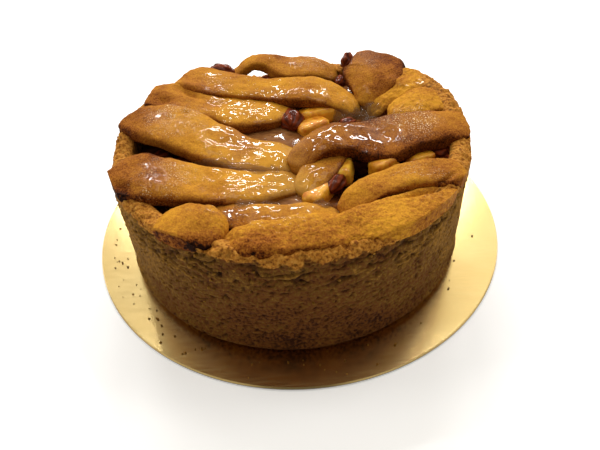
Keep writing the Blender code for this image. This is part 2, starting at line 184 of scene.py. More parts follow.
@dataclass
class Skin:
    """A closed surface ready to become a mesh: its points, its faces and numbers stored at each point."""

    points: Array
    quads: Array
    triangles: Array
    marks: dict[str, Array] = field(default_factory=dict)

    @staticmethod
    def tube(points: Array, start: Array, end: Array, marks: dict[str, Array] | None = None) -> Skin:
        """A grid (along, around, 3) closed around, with a pole at each end.

        Args:
            points: the grid, in millimetres.
            start: the pole before the first row.
            end: the pole after the last row.
            marks: numbers for the grid's points; a pole takes the mean of its row.

        Returns:
            The closed skin, with quads between rows and triangles round the poles.
        """
        rows, columns, _ = points.shape
        index = np.arange(rows * columns).reshape(rows, columns)
        after = np.roll(index, -1, axis=1)
        quads = np.stack([index[:-1], after[:-1], after[1:], index[1:]], axis=-1).reshape(-1, 4)
        first, last = rows * columns, rows * columns + 1
        near = np.stack([after[0], index[0], np.full(columns, first)], axis=-1)
        far = np.stack([index[-1], after[-1], np.full(columns, last)], axis=-1)
        flat = np.vstack([points.reshape(-1, 3), start, end])
        kept = {name: np.concatenate([values.ravel(), [values[0].mean(), values[-1].mean()]])
                for name, values in (marks or {}).items()}
        return Skin(flat, quads, np.vstack([near, far]), kept)

    def turned_out(self) -> Skin:
        """Turn the faces outwards, where the sum of the corners' triple products is negative.

        Returns:
            The same skin.
        """
        corners = self.points[np.vstack([self.quads[:, :3], self.quads[:, [0, 2, 3]], self.triangles])]
        volume = np.einsum("ij,ij->i", corners[:, 0], np.cross(corners[:, 1], corners[:, 2])).sum()
        if volume < 0:
            self.quads = self.quads[:, ::-1]
            self.triangles = self.triangles[:, ::-1]
        return self


def make_piece(name: str, skin: Skin, finish: bpy.types.Material, slot: Slot,
               *nodes: str) -> bpy.types.Object:
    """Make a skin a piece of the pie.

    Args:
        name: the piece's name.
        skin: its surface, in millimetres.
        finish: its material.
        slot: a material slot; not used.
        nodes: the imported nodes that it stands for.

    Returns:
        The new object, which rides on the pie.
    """
    skin.turned_out()
    faces = [skin.quads, skin.triangles]
    corners = np.concatenate([group.ravel() for group in faces]).astype(np.int32)
    sizes = np.concatenate([np.full(len(group), group.shape[1]) for group in faces if len(group)])
    starts = np.concatenate([[0], np.cumsum(sizes)[:-1]]).astype(np.int32)
    mesh = bpy.data.meshes.new(name)
    mesh.vertices.add(len(skin.points))
    mesh.vertices.foreach_set("co", (skin.points * MM).astype(np.float32).ravel())
    mesh.loops.add(len(corners))
    mesh.loops.foreach_set("vertex_index", corners)
    mesh.polygons.add(len(sizes))
    mesh.polygons.foreach_set("loop_start", starts)
    mesh.polygons.foreach_set("use_smooth", np.ones(len(sizes), dtype=bool))
    mesh.update(calc_edges=True)
    for mark, values in skin.marks.items():
        layer = mesh.attributes.new(mark, "FLOAT", "POINT")
        layer.data.foreach_set("value", values.astype(np.float32))
    mesh.materials.append(finish)
    piece = bpy.data.objects.new(name, mesh)
    bpy.context.scene.collection.objects.link(piece)
    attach(piece, "root")
    if nodes:
        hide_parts(*nodes)
    log.info("%s: %d points, stands for %s", name, len(skin.points), ", ".join(nodes) or "no node")
    return piece


def linear(shade: str, alpha: float = 1.0) -> tuple[float, float, float, float]:
    """Turn an sRGB hex colour such as "#C98A3C" into linear numbers.

    Args:
        shade: the colour as shown on a screen.
        alpha: its opacity.

    Returns:
        Red, green, blue and alpha.
    """
    parts = [int(shade[i:i + 2], 16) / 255.0 for i in (1, 3, 5)]
    red, green, blue = (p / 12.92 if p <= 0.04045 else ((p + 0.055) / 1.055) ** 2.4 for p in parts)
    return red, green, blue, alpha


def feed(tree: Tree, node: bpy.types.Node, inputs: dict[str | int, Value]) -> None:
    """Give a node its inputs.

    Args:
        tree: the node tree that holds the node.
        node: the node.
        inputs: input name or number, to an output socket that feeds it or to a fixed value.
    """
    for key, value in inputs.items():
        if isinstance(value, bpy.types.NodeSocket):
            tree.links.new(value, node.inputs[key])
        else:
            node.inputs[key].default_value = value


def add_node(tree: Tree, kind: str, inputs: dict[str | int, Value] | None = None,
             **settings: str) -> bpy.types.Node:
    """Add a node with its inputs and settings.

    Args:
        tree: the node tree.
        kind: the node's type, such as "ShaderNodeMix".
        inputs: what feed gives it.
        settings: the node's own properties.

    Returns:
        The new node.
    """
    node = tree.nodes.new(kind)
    for key, value in settings.items():
        setattr(node, key, value)
    feed(tree, node, inputs or {})
    return node


def new_material(name: str) -> tuple[bpy.types.Material, Tree, bpy.types.Node]:
    """Make a material.

    Args:
        name: its name.

    Returns:
        The material, its node tree and its Principled shader.
    """
    material = bpy.data.materials.new(name)
    material.use_nodes = True
    return material, material.node_tree, material.node_tree.nodes["Principled BSDF"]


def mark(tree: Tree, name: str) -> Socket:
    """The number that a mesh stores at each point under this name."""
    return add_node(tree, "ShaderNodeAttribute", attribute_name=name).outputs["Fac"]


def maths(tree: Tree, operation: str, first: Value, second: Value, third: Value = 0.0) -> Socket:
    """One Math node with up to three inputs, and its output."""
    return add_node(tree, "ShaderNodeMath", {0: first, 1: second, 2: third}, operation=operation).outputs[0]


def mixed(tree: Tree, share: Value, first: Value, second: Value) -> Socket:
    """Two colours mixed, the second one by its share."""
    return add_node(tree, "ShaderNodeMix", {0: share, 6: first, 7: second}, data_type="RGBA").outputs[2]


def centred(tree: Tree, noise: Socket, contrast: float) -> Socket:
    """Noise of 0 to 1 turned into a swing about 0 that is as wide as the contrast."""
    return maths(tree, "MULTIPLY_ADD", noise, contrast, -0.5 * contrast)


def between(tree: Tree, value: Value, low: float, high: float, start: float = 0.0,
            end: float = 1.0) -> Socket:
    """Map a value onto a range.

    Args:
        tree: the node tree.
        value: the value.
        low: the value that gives the start.
        high: the value that gives the end.
        start: what comes out at and below low.
        end: what comes out at and past high.

    Returns:
        The straight line between the two, held level outside them.
    """
    return add_node(tree, "ShaderNodeMapRange", {"Value": value, "From Min": low, "From Max": high,
                                                 "To Min": start, "To Max": end}).outputs[0]


def bump(tree: Tree, height: Socket, strength: float, depth_mm: float) -> Socket:
    """The normal of relief too fine for the mesh, by its height and its real depth."""
    return add_node(tree, "ShaderNodeBump", {"Height": height, "Strength": strength,
                                             "Distance": depth_mm * MM}).outputs[0]


def ramp(tree: Tree, level: Socket, stops: dict[float, str]) -> Socket:
    """A colour ramp.

    Args:
        tree: the node tree.
        level: the number that runs along the ramp.
        stops: levels, which may go past 1, to sRGB hex colours.

    Returns:
        The colour, blended evenly between the stops.
    """
    span = max(1.0, *stops)
    level = level if span == 1.0 else maths(tree, "DIVIDE", level, span)
    node = add_node(tree, "ShaderNodeValToRGB", {"Fac": level})
    elements = node.color_ramp.elements
    while len(elements) < len(stops):
        elements.new(0.5)
    for element, (place, shade) in zip(elements, sorted(stops.items())):
        element.position = min(place / span, 1.0)
        element.color = linear(shade)
    return node.outputs["Color"]


def grain(tree: Tree, size_mm: float, detail: float,
          stretch: tuple[float, float, float] = (1.0, 1.0, 1.0)) -> Socket:
    """Noise on Object coordinates.

    Args:
        tree: the node tree.
        size_mm: the real width of a speck, in millimetres.
        detail: how many finer layers are added.
        stretch: factors on X, Y and Z; less than 1 draws the specks out.

    Returns:
        The noise's factor output, about 0 to 1.
    """
    place = add_node(tree, "ShaderNodeTexCoord").outputs["Object"]
    mapped = add_node(tree, "ShaderNodeMapping", {"Vector": place, "Scale": stretch}).outputs["Vector"]
    return add_node(tree, "ShaderNodeTexNoise",
                    {"Vector": mapped, "Scale": 1.0 / (size_mm * MM), "Detail": detail}).outputs[0]


@dataclass(frozen=True)
class BakedPastry:
    """Shortcrust baked in a hot oven and brushed with syrup.

    It gives the eye a fine sandy grain, browner where it stood up to the heat and, as painted shade, on the
    strips' sides and in some creases, pale specks that are partly sugar and partly painted sparkle, and wet
    gloss where the syrup ran.
    """

    name: str = "baked_shortcrust"
    glazed: str = "#CF922A"
    golden: str = "#B77A26"
    tan: str = "#9C5E1F"
    brown: str = "#6E3710"
    burnt: str = "#240F07"
    syrup_grey: str = "#A5803C"
    # Pale specks: partly sugar grains, partly painted sparkle highlights.
    sugar_and_glint: str = "#F3DCAE"
    sugar_and_glint_mm: float = 0.55
    sand_mm: float = 0.75
    crumb_mm: float = 2.0
    mottle_mm: float = 7.0
    sand_contrast: float = 1.0
    crumb_contrast: float = 1.3
    mottle_contrast: float = 0.6
    sugar_and_glint_share: tuple[float, float] = (0.63, 0.73)
    sugar_and_glint_patches: tuple[float, float] = (0.33, 0.62)
    sand_relief_mm: float = 0.3
    crumb_relief_mm: float = 0.35
    crumb_height: float = 3.0
    dry_roughness: float = 0.75
    sandy_roughness: float = 0.6
    dry_shine: float = 0.04
    gloss: float = 0.9
    coat_roughness: float = 0.035
    coat_ior: float = 1.3

    def build(self) -> bpy.types.Material:
        """Mix the finish.

        The mark of browning and painted shade picks the colour, with sand, crumbs and broad mottling added to
        it. The film mark greys it, pale specks show where the grit mark is high and it isn't burnt, partly
        grains of sugar and partly painted sparkle highlights, and a clear coat lies where the wet mark is.

        Returns:
            The material.
        """
        material, tree, shader = new_material(self.name)
        bake_and_shade, wet, film, crumbly, grit = (
            mark(tree, name) for name in ("bake_and_shade", "wet", "film", "crumbly", "grit"))
        sand = grain(tree, self.sand_mm, 2.0)
        crumb = grain(tree, self.crumb_mm, 3.0)
        mottle = grain(tree, self.mottle_mm, 3.0)
        middling = maths(tree, "MULTIPLY", centred(tree, crumb, self.crumb_contrast), crumbly)
        level = maths(tree, "ADD", bake_and_shade, centred(tree, sand, self.sand_contrast))
        level = maths(tree, "ADD", level, middling)
        level = maths(tree, "ADD", level, centred(tree, mottle, self.mottle_contrast))
        colour = ramp(tree, level, {0.0: self.glazed, 0.3: self.golden, 0.58: self.tan, 0.85: self.brown,
                                    1.15: self.burnt})
        colour = mixed(tree, film, colour, linear(self.syrup_grey))
        # Pale specks where the grit is: partly grains of sugar, partly painted sparkle highlights of the
        # glaze.
        grains = between(tree, grain(tree, self.sugar_and_glint_mm, 0.0), *self.sugar_and_glint_share)
        patches = between(tree, maths(tree, "MULTIPLY", grit, mottle), *self.sugar_and_glint_patches)
        unburnt = between(tree, level, 1.0, 0.6)
        shown = maths(tree, "MULTIPLY", grains, maths(tree, "MULTIPLY", patches, unburnt))
        colour = mixed(tree, shown, colour, linear(self.sugar_and_glint))
        sanded = maths(tree, "MULTIPLY", sand, grit)
        crumbled = maths(tree, "MULTIPLY", maths(tree, "MULTIPLY", crumb, self.crumb_height), crumbly)
        feed(tree, shader, {
            "Base Color": colour,
            "Roughness": between(tree, grit, 0.3, 1.0, self.dry_roughness, self.sandy_roughness),
            "Specular IOR Level": self.dry_shine,
            "Normal": bump(tree, maths(tree, "ADD", sanded, crumbled), 1.0, self.crumb_relief_mm),
            "Coat Weight": maths(tree, "MULTIPLY", wet, self.gloss),
            "Coat Roughness": self.coat_roughness,
            "Coat IOR": self.coat_ior,
            "Coat Normal": bump(tree, sanded, 1.0, self.sand_relief_mm)})
        return material


@dataclass(frozen=True)
class WallCrumb:
    """Shortcrust that baked against the tin: dry, dark, pitted and matt, paler where it flaked off, with
    painted light paling its left and right sides and painted shade darkening its pits and cracks.
    """

    name: str = "tin_baked_crust"
    dark: str = "#3A1B0B"
    brown: str = "#6C3F17"
    olive: str = "#74501C"
    flake: str = "#9E7028"
    rust: str = "#7A4416"
    orange: str = "#BE7D2C"
    straw: str = "#CF9440"
    crack: str = "#260F06"
    crumb_mm: float = 1.3
    grit_mm: float = 0.55
    wall_contrast: float = 1.5
    crown_contrast: float = 0.8
    relief_mm: float = 0.9
    roughness: float = 0.8
    shine: float = 0.1

    def build(self) -> bpy.types.Material:
        """Mix the finish: the pale mark picks the wall's colour, paler on the wall's left and right sides as
        painted light, and the top and pit marks lie over it, the pit mark as painted shade in the hollows.

        Returns:
            The material.
        """
        material, tree, shader = new_material(self.name)
        pale, top, pit = (mark(tree, name) for name in ("pale", "top", "pit"))
        crumbs = grain(tree, self.crumb_mm, 4.0)
        grit = grain(tree, self.grit_mm, 2.0)
        level = maths(tree, "ADD", pale, centred(tree, crumbs, self.wall_contrast))
        colour = ramp(tree, level, {0.0: self.dark, 0.35: self.brown, 0.65: self.olive, 1.0: self.flake})
        crown = maths(tree, "ADD", top, centred(tree, crumbs, self.crown_contrast))
        baked = ramp(tree, crumbs, {0.32: self.rust, 0.5: self.orange, 0.68: self.straw})
        colour = mixed(tree, between(tree, crown, 0.25, 0.7), colour, baked)
        # The pit mark turns the pits, veins and splits near black: painted shade in these hollows.
        colour = mixed(tree, pit, colour, linear(self.crack))
        height = maths(tree, "ADD", crumbs, maths(tree, "MULTIPLY", grit, 0.5))
        feed(tree, shader, {"Base Color": colour, "Roughness": self.roughness,
                            "Specular IOR Level": self.shine,
                            "Normal": bump(tree, height, 0.8, self.relief_mm)})
        return material


@dataclass(frozen=True)
class StewedFilling:
    """Stewed apple in dark spiced syrup: wet lumps from amber to near black, and level syrup between."""

    name: str = "stewed_filling"
    deep: str = "#3A160A"
    brown: str = "#5E3014"
    amber: str = "#A8662A"
    dark_syrup: str = "#74492A"
    syrup: str = "#946338"
    pale_syrup: str = "#B08250"
    lump_mm: float = 7.0
    swirl_mm: float = 4.0
    roughness: float = 0.08
    syrup_ior: float = 1.36

    def build(self) -> bpy.types.Material:
        """Mix the finish: lumps by noise less the depth mark, which darkens the hollows as painted shade, and
        swirled syrup where the pool mark is.

        Returns:
            The material.
        """
        material, tree, shader = new_material(self.name)
        depth, pool = mark(tree, "depth"), mark(tree, "pool")
        lumps = grain(tree, self.lump_mm, 2.0)
        # Darker the deeper a place lies in a hollow: painted shade.
        level = maths(tree, "SUBTRACT", maths(tree, "MULTIPLY_ADD", lumps, 1.5, -0.15), depth)
        colour = ramp(tree, level, {0.0: self.deep, 0.45: self.brown, 0.95: self.amber})
        swirl = grain(tree, self.swirl_mm, 3.0, (1.0, 2.2, 1.0))
        sauce = ramp(tree, swirl, {0.3: self.dark_syrup, 0.55: self.syrup, 0.8: self.pale_syrup})
        feed(tree, shader, {"Base Color": mixed(tree, pool, colour, sauce), "Roughness": self.roughness,
                            "IOR": self.syrup_ior})
        return material


@dataclass(frozen=True)
class StewedApple:
    """Apple flesh stewed soft: amber and slightly see-through, wet all over."""

    name: str
    pale: str
    deep: str
    mottle_mm: float = 3.5
    relief_mm: float = 0.6
    glow: float = 0.15
    glow_depth_mm: float = 4.0
    glow_radius: tuple[float, float, float] = (1.0, 0.45, 0.15)

    def build(self) -> bpy.types.Material:
        """Mix the finish: two ambers mottled together under a wet coat.

        Returns:
            The material.
        """
        material, tree, shader = new_material(self.name)
        mottle = grain(tree, self.mottle_mm, 3.0)
        feed(tree, shader, {
            "Base Color": ramp(tree, mottle, {0.3: self.deep, 0.62: self.pale}),
            "Roughness": 0.5,
            "Specular IOR Level": 0.2,
            "Subsurface Weight": self.glow,
            "Subsurface Radius": self.glow_radius,
            "Subsurface Scale": self.glow_depth_mm * MM,
            "Coat Weight": 0.6,
            "Coat Roughness": 0.06,
            "Coat IOR": 1.36,
            "Normal": bump(tree, mottle, 0.4, self.relief_mm)})
        return material


@dataclass(frozen=True)
class RaisinSkin:
    """A raisin swollen with syrup: dark red-brown wrinkled skin with wet glints."""

    name: str = "swollen_raisin"
    dark: str = "#4E1B08"
    red: str = "#803410"

    def build(self) -> bpy.types.Material:
        """Mix the finish: darker in the wrinkles as painted shade, redder on the swellings.

        Returns:
            The material.
        """
        material, tree, shader = new_material(self.name)
        # The swell mark darkens the wrinkles: painted shade in the folds.
        feed(tree, shader, {
            "Base Color": ramp(tree, mark(tree, "swell"), {0.2: self.dark, 0.8: self.red}),
            "Roughness": 0.6,
            "Specular IOR Level": 0.05,
            "Coat Weight": 0.5,
            "Coat Roughness": 0.05,
            "Coat IOR": 1.3})
        return material


@dataclass(frozen=True)
class SyrupFilm:
    """Clear sugar syrup that ran into the creases and set: a thin see-through coat with sharp glints."""

    name: str = "set_syrup"
    tint: str = "#8A5F38"
    opacity: float = 0.3

    def build(self) -> bpy.types.Material:
        """Mix the finish: a smooth, mostly clear surface.

        Returns:
            The material.
        """
        material, tree, shader = new_material(self.name)
        feed(tree, shader, {"Base Color": linear(self.tint), "Alpha": self.opacity, "Roughness": 0.05,
                            "IOR": 1.36})
        return material


@dataclass(frozen=True)
class GoldFoil:
    """Cake card faced with pale gold foil: a soft mirror with fine rolling lines."""

    name: str = "gold_foil_card"
    gold: str = "#F3DA9C"
    deep_gold: str = "#EBCB86"
    line_mm: float = 0.6
    cloud_mm: float = 30.0

    def build(self) -> bpy.types.Material:
        """Mix the finish: metal whose colour and roughness vary along drawn-out lines.

        Returns:
            The material.
        """
        material, tree, shader = new_material(self.name)
        lines = grain(tree, self.line_mm, 3.0, (0.06, 1.0, 1.0))
        cloud = grain(tree, self.cloud_mm, 2.0)
        feed(tree, shader, {
            "Base Color": mixed(tree, cloud, linear(self.gold), linear(self.deep_gold)),
            "Metallic": 1.0,
            "Roughness": maths(tree, "MULTIPLY_ADD", lines, 0.16, 0.12),
            "Normal": bump(tree, lines, 0.12, 0.2)})
        return material


@dataclass(frozen=True)
class GreyBoard:
    """The cut edge and the back of the card: pressed grey board."""

    name: str = "grey_board"
    dark_grey: str = "#6F6A5E"
    grey: str = "#8C8678"
    fibre_mm: float = 1.5

    def build(self) -> bpy.types.Material:
        """Mix the finish: matt grey with board fibres.

        Returns:
            The material.
        """
        material, tree, shader = new_material(self.name)
        fibres = grain(tree, self.fibre_mm, 3.0)
        feed(tree, shader, {"Base Color": ramp(tree, fibres, {0.3: self.dark_grey, 0.7: self.grey}),
                            "Roughness": 0.9})
        return material


@dataclass
class GoldCard:
    """The round card: a thin disc, foil on top and board below."""

    radius: float = 115.0
    thickness: float = 1.6
    edge_rounding: float = 0.6
    steps: int = 320

    def build(self) -> None:
        """Turn the card's profile round Z and dress it."""
        r, t, e = self.radius, self.thickness, self.edge_rounding
        profile = np.array([(r - e, 0.0), (r, e), (r, t - e), (r - e, t), (r - 4.0, t), (0.5 * r, t)])
        angle = np.linspace(0.0, 2.0 * math.pi, self.steps, endpoint=False)
        ring = np.stack([np.cos(angle), np.sin(angle)], axis=-1)
        points = np.concatenate([profile[:, None, :1] * ring[None], np.broadcast_to(
            profile[:, None, 1:], (len(profile), self.steps, 1))], axis=-1)
        skin = Skin.tube(points, np.zeros(3), np.array([0.0, 0.0, t]))
        card = make_piece("gold_card", skin, GoldFoil().build(), Slot.CARD, "cake_board")
        card.data.materials.append(GreyBoard().build())
        bands = np.zeros(len(card.data.polygons), dtype=np.int32)
        bands[:2 * self.steps] = 1
        bands[-2 * self.steps:-self.steps] = 1
        card.data.polygons.foreach_set("material_index", bands)
        card.data.set_sharp_from_angle(angle=math.radians(30))


@dataclass
class CrustCup:
    """The crust: a cup pressed into a straight tin, with a pitted wall and a crumbling, sunken rim."""

    radius: float = 90.2
    wall: float = 10.0
    base: float = 1.95
    floor: float = 9.0
    foot: float = 4.0
    rim: float = 66.5
    lip: float = 3.0
    waviness: float = 0.5
    crumb_height: float = 0.3
    pit_depth: float = 0.8
    vein_depth: float = 0.7
    split_depth: float = 1.3
    crown_height: float = 1.5
    steps: int = 720
    wall_rows: int = 92

    def rim_height(self, angle: Array) -> Array:
        """Height of the rim: low at the back and in a left notch, high on the right.

        Args:
            angle: angles round the pie, in degrees.

        Returns:
            The rim's height less two bells of the angle, plus one.
        """
        back = 14.0 * bell(angle_from(angle, 97.0), 29.0)
        notch = 4.0 * bell(angle_from(angle, 186.0), 8.0)
        rise = 6.0 * bell(angle_from(angle, 18.0), 22.0)
        return self.rim - back - notch + rise

    def profile(self) -> tuple[Array, Array]:
        """The cup's profile from its floor's middle over the rim and down to the foot.

        Returns:
            Rows of (radius, height) and, alike, how much of the rim's change in height each row takes.
        """
        inner = self.radius - self.wall
        low, floor = self.base + self.foot, self.base + self.floor
        arc = np.linspace(0.0, math.pi, 15)
        crown_radius = 0.5 * self.wall
        crown = np.stack([inner + crown_radius * (1 - np.cos(arc)),
                          self.rim - self.lip + self.lip * np.sin(arc) ** 0.8], axis=-1)
        inside = np.stack([np.full(18, inner),
                           np.linspace(floor, self.rim - self.lip, 18, endpoint=False)], axis=-1)
        outside = np.stack([np.full(self.wall_rows, self.radius),
                            np.linspace(self.rim - self.lip, low, self.wall_rows + 1)[1:]], axis=-1)
        turn = np.linspace(0.0, 0.5 * math.pi, 7)[1:]
        foot = np.stack([self.radius - self.foot * (1 - np.cos(turn)), low - self.foot * np.sin(turn)], -1)
        rows = np.vstack([[(0.5 * inner, floor)], inside, crown, outside, foot, [(0.5 * inner, self.base)]])
        share = np.clip((rows[:, 1] - floor) / (self.rim - floor), 0.0, None)
        return rows, share

    def build(self) -> None:
        """Turn the profile, fit it to the rim's height and crumble it.

        The wall is pushed out along its radius by noise, and in by pits, by veins and by splits: a vein or
        split is where the noise is close to 0, which draws thin lines.
        """
        rows, share = self.profile()
        angle = np.linspace(0.0, 2.0 * math.pi, self.steps, endpoint=False)
        degrees = np.degrees(angle)
        drop = self.rim - self.rim_height(degrees)
        radius = np.broadcast_to(rows[:, :1], (len(rows), self.steps))
        height = rows[:, 1:] - share[:, None] * drop[None]
        out = np.stack([np.cos(angle), np.sin(angle), np.zeros(self.steps)], axis=-1)[None]
        points = radius[..., None] * out + height[..., None] * np.array([0.0, 0.0, 1.0])
        outer = smoothstep(self.radius - 0.9 * self.wall, self.radius - 0.3 * self.wall, radius)
        above = height - (self.rim_height(degrees)[None] - self.lip)
        crown = smoothstep(-4.0, 1.0, above) * outer
        band = bell(above + 8.0, 8.0) * outer
        standing = smoothstep(self.base + 0.2, self.base + 2.5, height)
        rough = Relief(3)
        around = np.stack([np.broadcast_to(degrees[None] * math.radians(self.radius), height.shape), height,
                           np.zeros_like(height)], axis=-1)
        tilted = around + np.array([0.0, 1.0, 0.0]) * 3.0 * rough.at(around, 40.0)[..., None]
        crumb = self.crumb_height * rough.layers(points, 3.0, 3, 0.65)
        pits = smoothstep(0.3, 0.55, rough.at(points + 50.0, (2.2, 2.2, 1.4)))
        wide = smoothstep(-0.1, 0.35, rough.at(tilted + 30.0, (24.0, 14.0, 9.0)))
        veins = smoothstep(0.11, 0.0, np.abs(rough.at(tilted, (11.0, 3.4, 5.0)))) * wide
        veins = veins * (1.0 - 0.65 * smoothstep(24.0, 50.0, height))
        splits = smoothstep(0.16, 0.0, np.abs(rough.at(tilted + 60.0, (15.0, 4.2, 5.0)))) * band
        chunks = band * rough.layers(points + 20.0, 4.5, 2)
        foot = 1.0 * bell(height - 8.5, 1.6) - 1.6 * smoothstep(7.0, 3.5, height)
        push = (self.waviness * rough.at(points, 26.0) + crumb - self.pit_depth * pits
                - self.vein_depth * veins - self.split_depth * splits + chunks + foot)
        points = points + (outer * standing * push)[..., None] * out
        points[..., 2] += crown * self.crown_height * rough.layers(points + 90.0, 4.0, 3)
        pale = 0.22 + 0.24 * smoothstep(8.0, 54.0, height) + 0.04 * band
        pale = pale + 0.22 * rough.at(points + 70.0, (16.0, 16.0, 9.0)) + 0.25 * chunks
        # Paler on the wall's left and right sides: painted light, as the sides catch more light than the
        # front.
        pale = pale + 0.6 * np.cos(angle)[None] ** 2
        # The pit mark is what the finish paints near black: painted shade in the pits, veins and splits.
        marks = {"pale": pale, "top": smoothstep(-2.0, 1.0, above + 3.0 * rough.layers(points, 7.0, 3)),
                 "pit": np.clip(0.7 * pits + 0.55 * veins + 0.9 * splits, 0.0, 1.0) * (1.0 - 0.6 * crown)}
        points = points + PIE_CENTRE
        floor_pole = PIE_CENTRE + (0.0, 0.0, self.base + self.floor)
        skin = Skin.tube(points, floor_pole, PIE_CENTRE + (0.0, 0.0, self.base), marks)
        make_piece("crust_cup", skin, WallCrumb().build(), Slot.CRUST, "crust")


@dataclass(frozen=True)
class Strip:
    """One pastry strip: its knots (x, y, top, width) from the rim inwards, how it baked, and how much its
    sides are darkened, partly browning and partly painted shade.
    """

    node: str
    knots: tuple[tuple[float, float, float, float], ...]
    brown: float = 0.0
    gloss: float = 0.0
    crumbly: float = 0.15
    side_brown_and_shade: float = 0.42


STRIPS = (
    Strip("strip_left_front", ((-85, -27, 70, 22), (-73, -33, 71.5, 29), (-56, -37, 70.5, 28),
                               (-38, -38.5, 67, 24), (-20, -37.5, 63.5, 23), (-3, -32.5, 60.5, 18),
                               (9, -27.5, 56, 12)), brown=0.08, side_brown_and_shade=0.35),
    Strip("strip_left_middle", ((-84, 24, 69.5, 26), (-72, 15, 71, 30), (-56, 6, 71, 31),
                                (-40, -3.5, 68, 29), (-24, -11, 64.5, 27), (-6, -14.5, 62.5, 23),
                                (8, -16, 58, 14)), brown=0.08, side_brown_and_shade=0.32),
    Strip("strip_left_back", ((-79, 42, 70, 20), (-67, 39.5, 70.5, 24), (-53, 33, 68.5, 22),
                              (-39, 29.5, 66.5, 22), (-27, 27, 65.5, 29), (-14, 27, 65.2, 28),
                              (-3, 30, 63.5, 20), (4, 33, 60, 9)), brown=0.08),
    Strip("strip_back_left", ((-64, 60, 69, 20), (-53, 57, 70.5, 28), (-38, 53, 69, 26),
                              (-19, 46, 68.5, 20), (0, 40.5, 70, 24), (16, 38, 70, 25), (30, 33, 66, 20),
                              (40, 27, 60, 12)), brown=0.12, side_brown_and_shade=0.3),
    Strip("strip_back_arch", ((-38, 77, 57, 12), (-31, 78, 62.5, 11), (-21, 79, 68.5, 11),
                              (-10, 78, 68.5, 14), (2, 74, 66.5, 22), (18, 73, 66, 22),
                              (32, 71, 60, 15)), brown=0.05, side_brown_and_shade=0.0),
    Strip("strip_right_back_lobe", ((47, 77, 71.5, 8), (48.5, 67, 74, 19), (51, 56, 73.5, 34),
                                    (49, 46, 71.5, 33), (46.5, 37, 68, 24), (44, 29, 61, 12)), brown=0.28),
    Strip("strip_right_back_high", ((80, 44, 71, 16), (71, 41, 72, 23), (61, 36, 70, 22), (52, 30, 65, 16),
                                    (45, 25, 58, 10)), brown=-0.1, crumbly=0.7),
    Strip("strip_right_back_low", ((85, 21, 70, 20), (76, 19, 71.5, 23), (64, 15, 70.5, 20),
                                   (52, 12, 66, 15)), brown=-0.1, crumbly=0.7),
    Strip("strip_right_middle", ((91, -5, 69.5, 22), (74, -6, 71.5, 25), (58, -9, 71.5, 28),
                                 (43, -12, 70, 33), (29, -12, 71.5, 22), (17, -15, 72, 19),
                                 (8, -20, 69, 16), (1, -27, 62, 13)), brown=0.38, side_brown_and_shade=0.2),
    Strip("strip_centre", ((29, -8, 61, 13), (22, -17, 65.5, 15), (15.5, -26, 65.5, 17),
                           (10, -34, 64, 16), (3.5, -42, 59.5, 10)), brown=0.12, gloss=0.45),
    Strip("strip_right_front_high", ((80, -39.5, 68.5, 14), (69, -42.5, 70.5, 16.5), (55, -44.5, 71.5, 16),
                                     (42, -47.5, 70.5, 16), (31, -53, 68.5, 15), (22, -62, 62, 12)),
          brown=0.08, crumbly=0.35, side_brown_and_shade=0.35),
    Strip("strip_right_front_low", ((73, -51, 67, 14), (61, -60.5, 69, 20), (46, -67.5, 70, 21),
                                    (30, -72.5, 70, 20), (15, -75, 67, 14)), brown=-0.05, crumbly=0.8,
          side_brown_and_shade=0.15),
    Strip("strip_front_left", ((-60, -63, 67, 16), (-49, -67, 70.5, 23), (-38, -69.5, 70.5, 24),
                               (-27, -73, 66.5, 17)), crumbly=0.5),
    Strip("strip_front_middle", ((-31, -76, 64, 13), (-19, -77, 68.5, 17), (-6, -77.5, 69.5, 19),
                                 (9, -76, 70, 20), (25, -75, 67, 16)), crumbly=0.7, side_brown_and_shade=0.25),
    Strip("strip_front_inner", ((-37, -51, 61, 12), (-22, -59.5, 64.5, 17), (-4, -62.5, 65.5, 16),
                                (10, -61.5, 65, 16), (22, -57, 60, 12)), brown=0.18),
)


@dataclass(frozen=True)
class Dent:
    """A hump or hollow pressed into the strips' tops: place, half length, half width, turn and height."""

    x: float
    y: float
    length: float
    width: float
    turn: float
    height: float
    rim: float = 0.0

    def height_at(self, points: Array) -> Array:
        """Its height at points.

        Args:
            points: places from the pie's centre, in the last axis.

        Returns:
            With d the place's distance in the oval's own half lengths, the height times exp(-d^2), or for
            an oval with a rim, a set drop's edge, the height times exp(-((d - 1)/rim)^2).
        """
        turn = math.radians(self.turn)
        dx, dy = points[..., 0] - self.x, points[..., 1] - self.y
        along = dx * math.cos(turn) + dy * math.sin(turn)
        across = dy * math.cos(turn) - dx * math.sin(turn)
        reach = np.hypot(along / self.length, across / self.width)
        return self.height * (bell(reach - 1.0, self.rim) if self.rim else bell(reach, 1.0))


